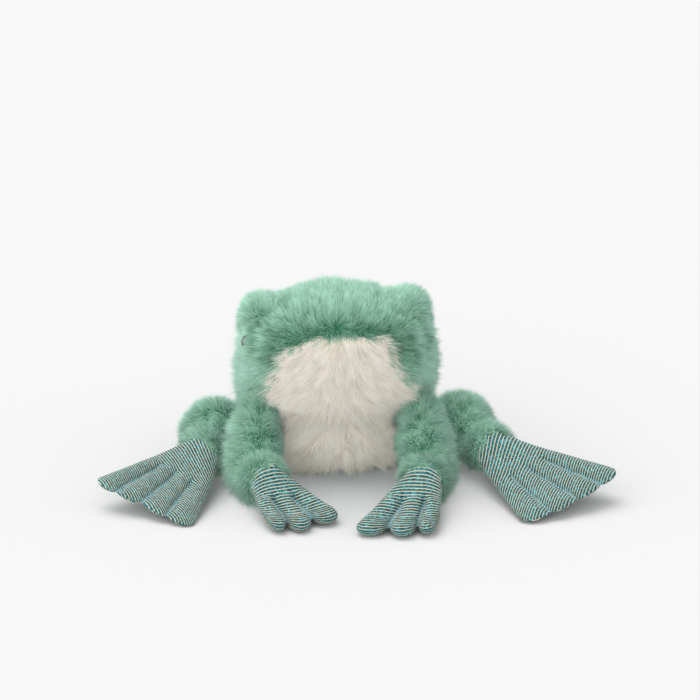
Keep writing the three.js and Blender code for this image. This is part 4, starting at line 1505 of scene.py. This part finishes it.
@dataclass
class FurLimb:
    """A front or hind leg: a stuffed skin with green pile, and a furry hem over its paw's round root."""

    name: str
    body: str
    toward: Vector
    paw: Paw
    fuller: tuple[float, float, float] = (0.0, 0.0, 0.0)
    draw_in: float = 4.5 * MM
    pile: Pile = Pile(length=9.5 * MM)
    density: float = 4.8
    along: float = 0.8
    radial: float = 0.5
    hem_gap: float = 0.5 * MM
    hem_back: float = -0.95
    hem_front: float = 0.3
    hem_mess: float = 0.12
    hem_lift: float = 38.0

    def build(self, around: BVHTree, seed: int) -> None:
        """Builds the skin and its pile.

        Args:
            around: Tree of the body's skin, in which no pile grows.
            seed: Seed of the pile's draws.
        """
        nodes = (self.name, self.name.replace("_", "_filling_"))
        shape = {"voxel": 3 * MM, "draw_in": self.draw_in, "smoothing": 10}
        skin = StuffedSkin(self.name + "_skin", nodes, self.body, 0.75, **shape).build()
        rng = np.random.default_rng(seed)
        roots, normals = scatter(skin, self.density, rng)
        keep = self.outside(roots, around) & ((normals[:, 2] > -0.85) | (rng.random(len(roots)) < 0.3))
        roots, normals = roots[keep], normals[keep]
        rims, faces = self.hem(rng)
        combs = np.array(self.toward.normalized())[None, :] * self.along
        combs = combs + unit(roots - roots.mean(0)) * self.radial + drift(roots, 16 * MM, seed=31) * 0.35
        combs = np.concatenate([combs, np.tile(np.array(self.paw.way()), (len(rims), 1))])
        lifts = np.concatenate([np.full(len(roots), self.pile.lift), np.full(len(rims), self.hem_lift)])
        roots, normals = np.concatenate([roots, rims]), np.concatenate([normals, faces])
        heights, lengths = self.pile.draw(normals, rng)
        lengths *= 1 + normals @ np.array(self.fuller)
        strands = Strands(roots, normals, combs, lengths, lifts, heights)
        self.pile.plant(self.name + "_pile", self.body, GREEN_PLUSH, strands, seed)

    def hem(self, rng: Rng) -> tuple[Array, Array]:
        """Draws strand roots around the round root of the paw.

        Args:
            rng: Source of the draws.

        Returns:
            The roots and their normals.
        """
        radius = self.paw.shape.ball + self.hem_gap
        count = int(4 * math.pi * (radius / MM) ** 2 * self.density)
        normals = unit(rng.normal(size=(count, 3)))
        ahead = normals @ np.array(self.paw.way())
        edge = self.hem_front + self.hem_mess * waves(normals, 0.5, seed=91)
        normals = normals[(ahead > self.hem_back) & (ahead < edge)]
        roots = np.array(self.paw.root) + normals * radius
        above = roots[:, 2] > 1.5 * MM
        return roots[above], normals[above]

    @staticmethod
    def outside(roots: Array, around: BVHTree, depth: float = 4 * MM) -> Array:
        """Says which roots aren't buried in the body.

        Args:
            roots: Places of the roots.
            around: Tree of the body's skin.
            depth: How deep a root may lie.

        Returns:
            True for each root that stays.
        """
        free = np.ones(len(roots), bool)
        for number, root in enumerate(roots):
            spot, normal, _, distance = around.find_nearest(root, 12 * MM)
            if spot is not None and distance > depth and (Vector(root) - spot).dot(normal) < -0.7 * distance:
                free[number] = False
        return free


ARM = {"draw_in": 4.0 * MM, "pile": Pile(length=10 * MM, lift=60.0)}
ARMS = (
    FurLimb("arm_left", "front_leg_left", Vector((5, -43, -18)), LEFT_HAND, (0.1, 0.0, 0.0), **ARM),
    FurLimb("arm_right", "front_leg_right", Vector((-6, -37, -18)), RIGHT_HAND, (-0.42, 0.0, 0.0), **ARM),
)
THIGHS = (
    FurLimb("thigh_left", "hind_leg_left", Vector((14, -32, -6)), LEFT_FOOT),
    FurLimb("thigh_right", "hind_leg_right", Vector((-8, -28, -6)), RIGHT_FOOT),
)


# Studio.


@dataclass(frozen=True)
class Lamp:
    """A broad soft lamp far away: its strength, how wide it looks in degrees, and its turn in degrees."""

    name: str
    strength: float
    width: float
    turn: tuple[float, float, float]

    def build(self) -> None:
        """Hangs the lamp."""
        lamp = bpy.data.lights.new(self.name, "SUN")
        lamp.energy, lamp.angle = self.strength, math.radians(self.width)
        holder = bpy.data.objects.new(self.name, lamp)
        holder.rotation_euler = Euler([math.radians(value) for value in self.turn])
        bpy.context.scene.collection.objects.link(holder)


@dataclass(frozen=True)
class Studio:
    """A pale floor under even, soft light."""

    background: float = linear(247, 247, 247)[0]
    floor_tone: float = 0.717
    floor_half: float = 6.0
    sky: float = 0.62
    lamps: tuple[Lamp, ...] = (
        Lamp("top_lamp", 1.7, 50.0, (-20.0, -14.0, 0.0)),
        Lamp("front_lamp", 0.8, 60.0, (68.0, 0.0, -24.0)),
        Lamp("left_lamp", 0.85, 70.0, (0.0, -78.0, 0.0)),
        Lamp("right_lamp", 0.45, 70.0, (0.0, 78.0, 0.0)),
    )

    def build(self) -> None:
        """Makes the sky, the lamps and the floor, and sets how colours are shown."""
        bpy.context.scene.view_settings.view_transform = "Standard"
        self.make_sky()
        for lamp in self.lamps:
            lamp.build()
        select_only()
        bpy.ops.mesh.primitive_plane_add(size=2 * self.floor_half)
        floor = bpy.context.active_object
        floor.name = floor.data.name = "floor"
        inputs = {"Base Color": (self.floor_tone,) * 3, "Roughness": 1.0, "Specular IOR Level": 0.0}
        floor.data.materials.append(NodeSheet("pale_floor", inputs).material)

    def make_sky(self) -> None:
        """Makes a white sky that is seen as the pale background."""
        world = bpy.data.worlds.new("studio")
        world.use_nodes = True
        bpy.context.scene.world = world
        nodes = world.node_tree.nodes
        rays, either = nodes.new("ShaderNodeLightPath"), nodes.new("ShaderNodeMath")
        either.operation = "MAXIMUM"
        sky, seen = nodes["Background"], nodes.new("ShaderNodeBackground")
        mixer = nodes.new("ShaderNodeMixShader")
        sky.inputs["Color"].default_value = (1, 1, 1, 1)
        sky.inputs["Strength"].default_value = self.sky
        seen.inputs["Color"].default_value = (self.background,) * 3 + (1,)
        for source, socket in (
            (rays.outputs["Is Camera Ray"], either.inputs[0]),
            (rays.outputs["Is Glossy Ray"], either.inputs[1]),
            (either.outputs[0], mixer.inputs[0]),
            (sky.outputs[0], mixer.inputs[1]),
            (seen.outputs[0], mixer.inputs[2]),
            (mixer.outputs[0], nodes["World Output"].inputs["Surface"]),
        ):
            world.node_tree.links.new(source, socket)


@dataclass(frozen=True)
class Viewpoint:
    """The camera: a long lens in front, a little to the side and above."""

    place: tuple[float, float, float] = (-87.42 * MM, -1384.01 * MM, 575.68 * MM)
    azimuth: float = -4.0
    elevation: float = 20.0
    lens: float = 115.71
    sensor: float = 36.0

    def build(self) -> None:
        """Makes the camera and gives it to the scene."""
        side, up = math.radians(self.azimuth), math.radians(self.elevation)
        back = Vector((math.sin(side) * math.cos(up), -math.cos(side) * math.cos(up), math.sin(up)))
        right = Vector((0, 0, 1)).cross(back).normalized()
        turn = Matrix((right, back.cross(right), back)).transposed().to_4x4()
        camera = bpy.data.cameras.new("camera")
        camera.lens, camera.sensor_width = self.lens, self.sensor
        holder = bpy.data.objects.new("camera", camera)
        holder.matrix_world = Matrix.Translation(self.place) @ turn
        bpy.context.scene.collection.objects.link(holder)
        bpy.context.scene.camera = holder


def main() -> None:
    """Builds every piece in order."""
    logging.basicConfig(level=logging.INFO, format="%(message)s")
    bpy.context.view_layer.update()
    Viewpoint().build()
    Studio().build()
    skin = PlushBody().build()
    around = BVHTree.FromObject(skin, bpy.context.evaluated_depsgraph_get())
    for number, (arm, thigh) in enumerate(zip(ARMS, THIGHS)):
        arm.build(around, ARM_SEED + number)
        thigh.build(around, THIGH_SEED + number)

    cloth, thread = StripedCloth().material(), StripedCloth().stitch_material()
    for number, paw in enumerate(PAWS):
        paw.build(cloth, thread, PAW_SEED + number)

    eye_plastic, washer_plastic = EYE_PLASTIC.material(), WASHER_PLASTIC.material()
    for name in SIDES:
        Eye(name).build(eye_plastic, washer_plastic)


if __name__ == "__main__":
    main()
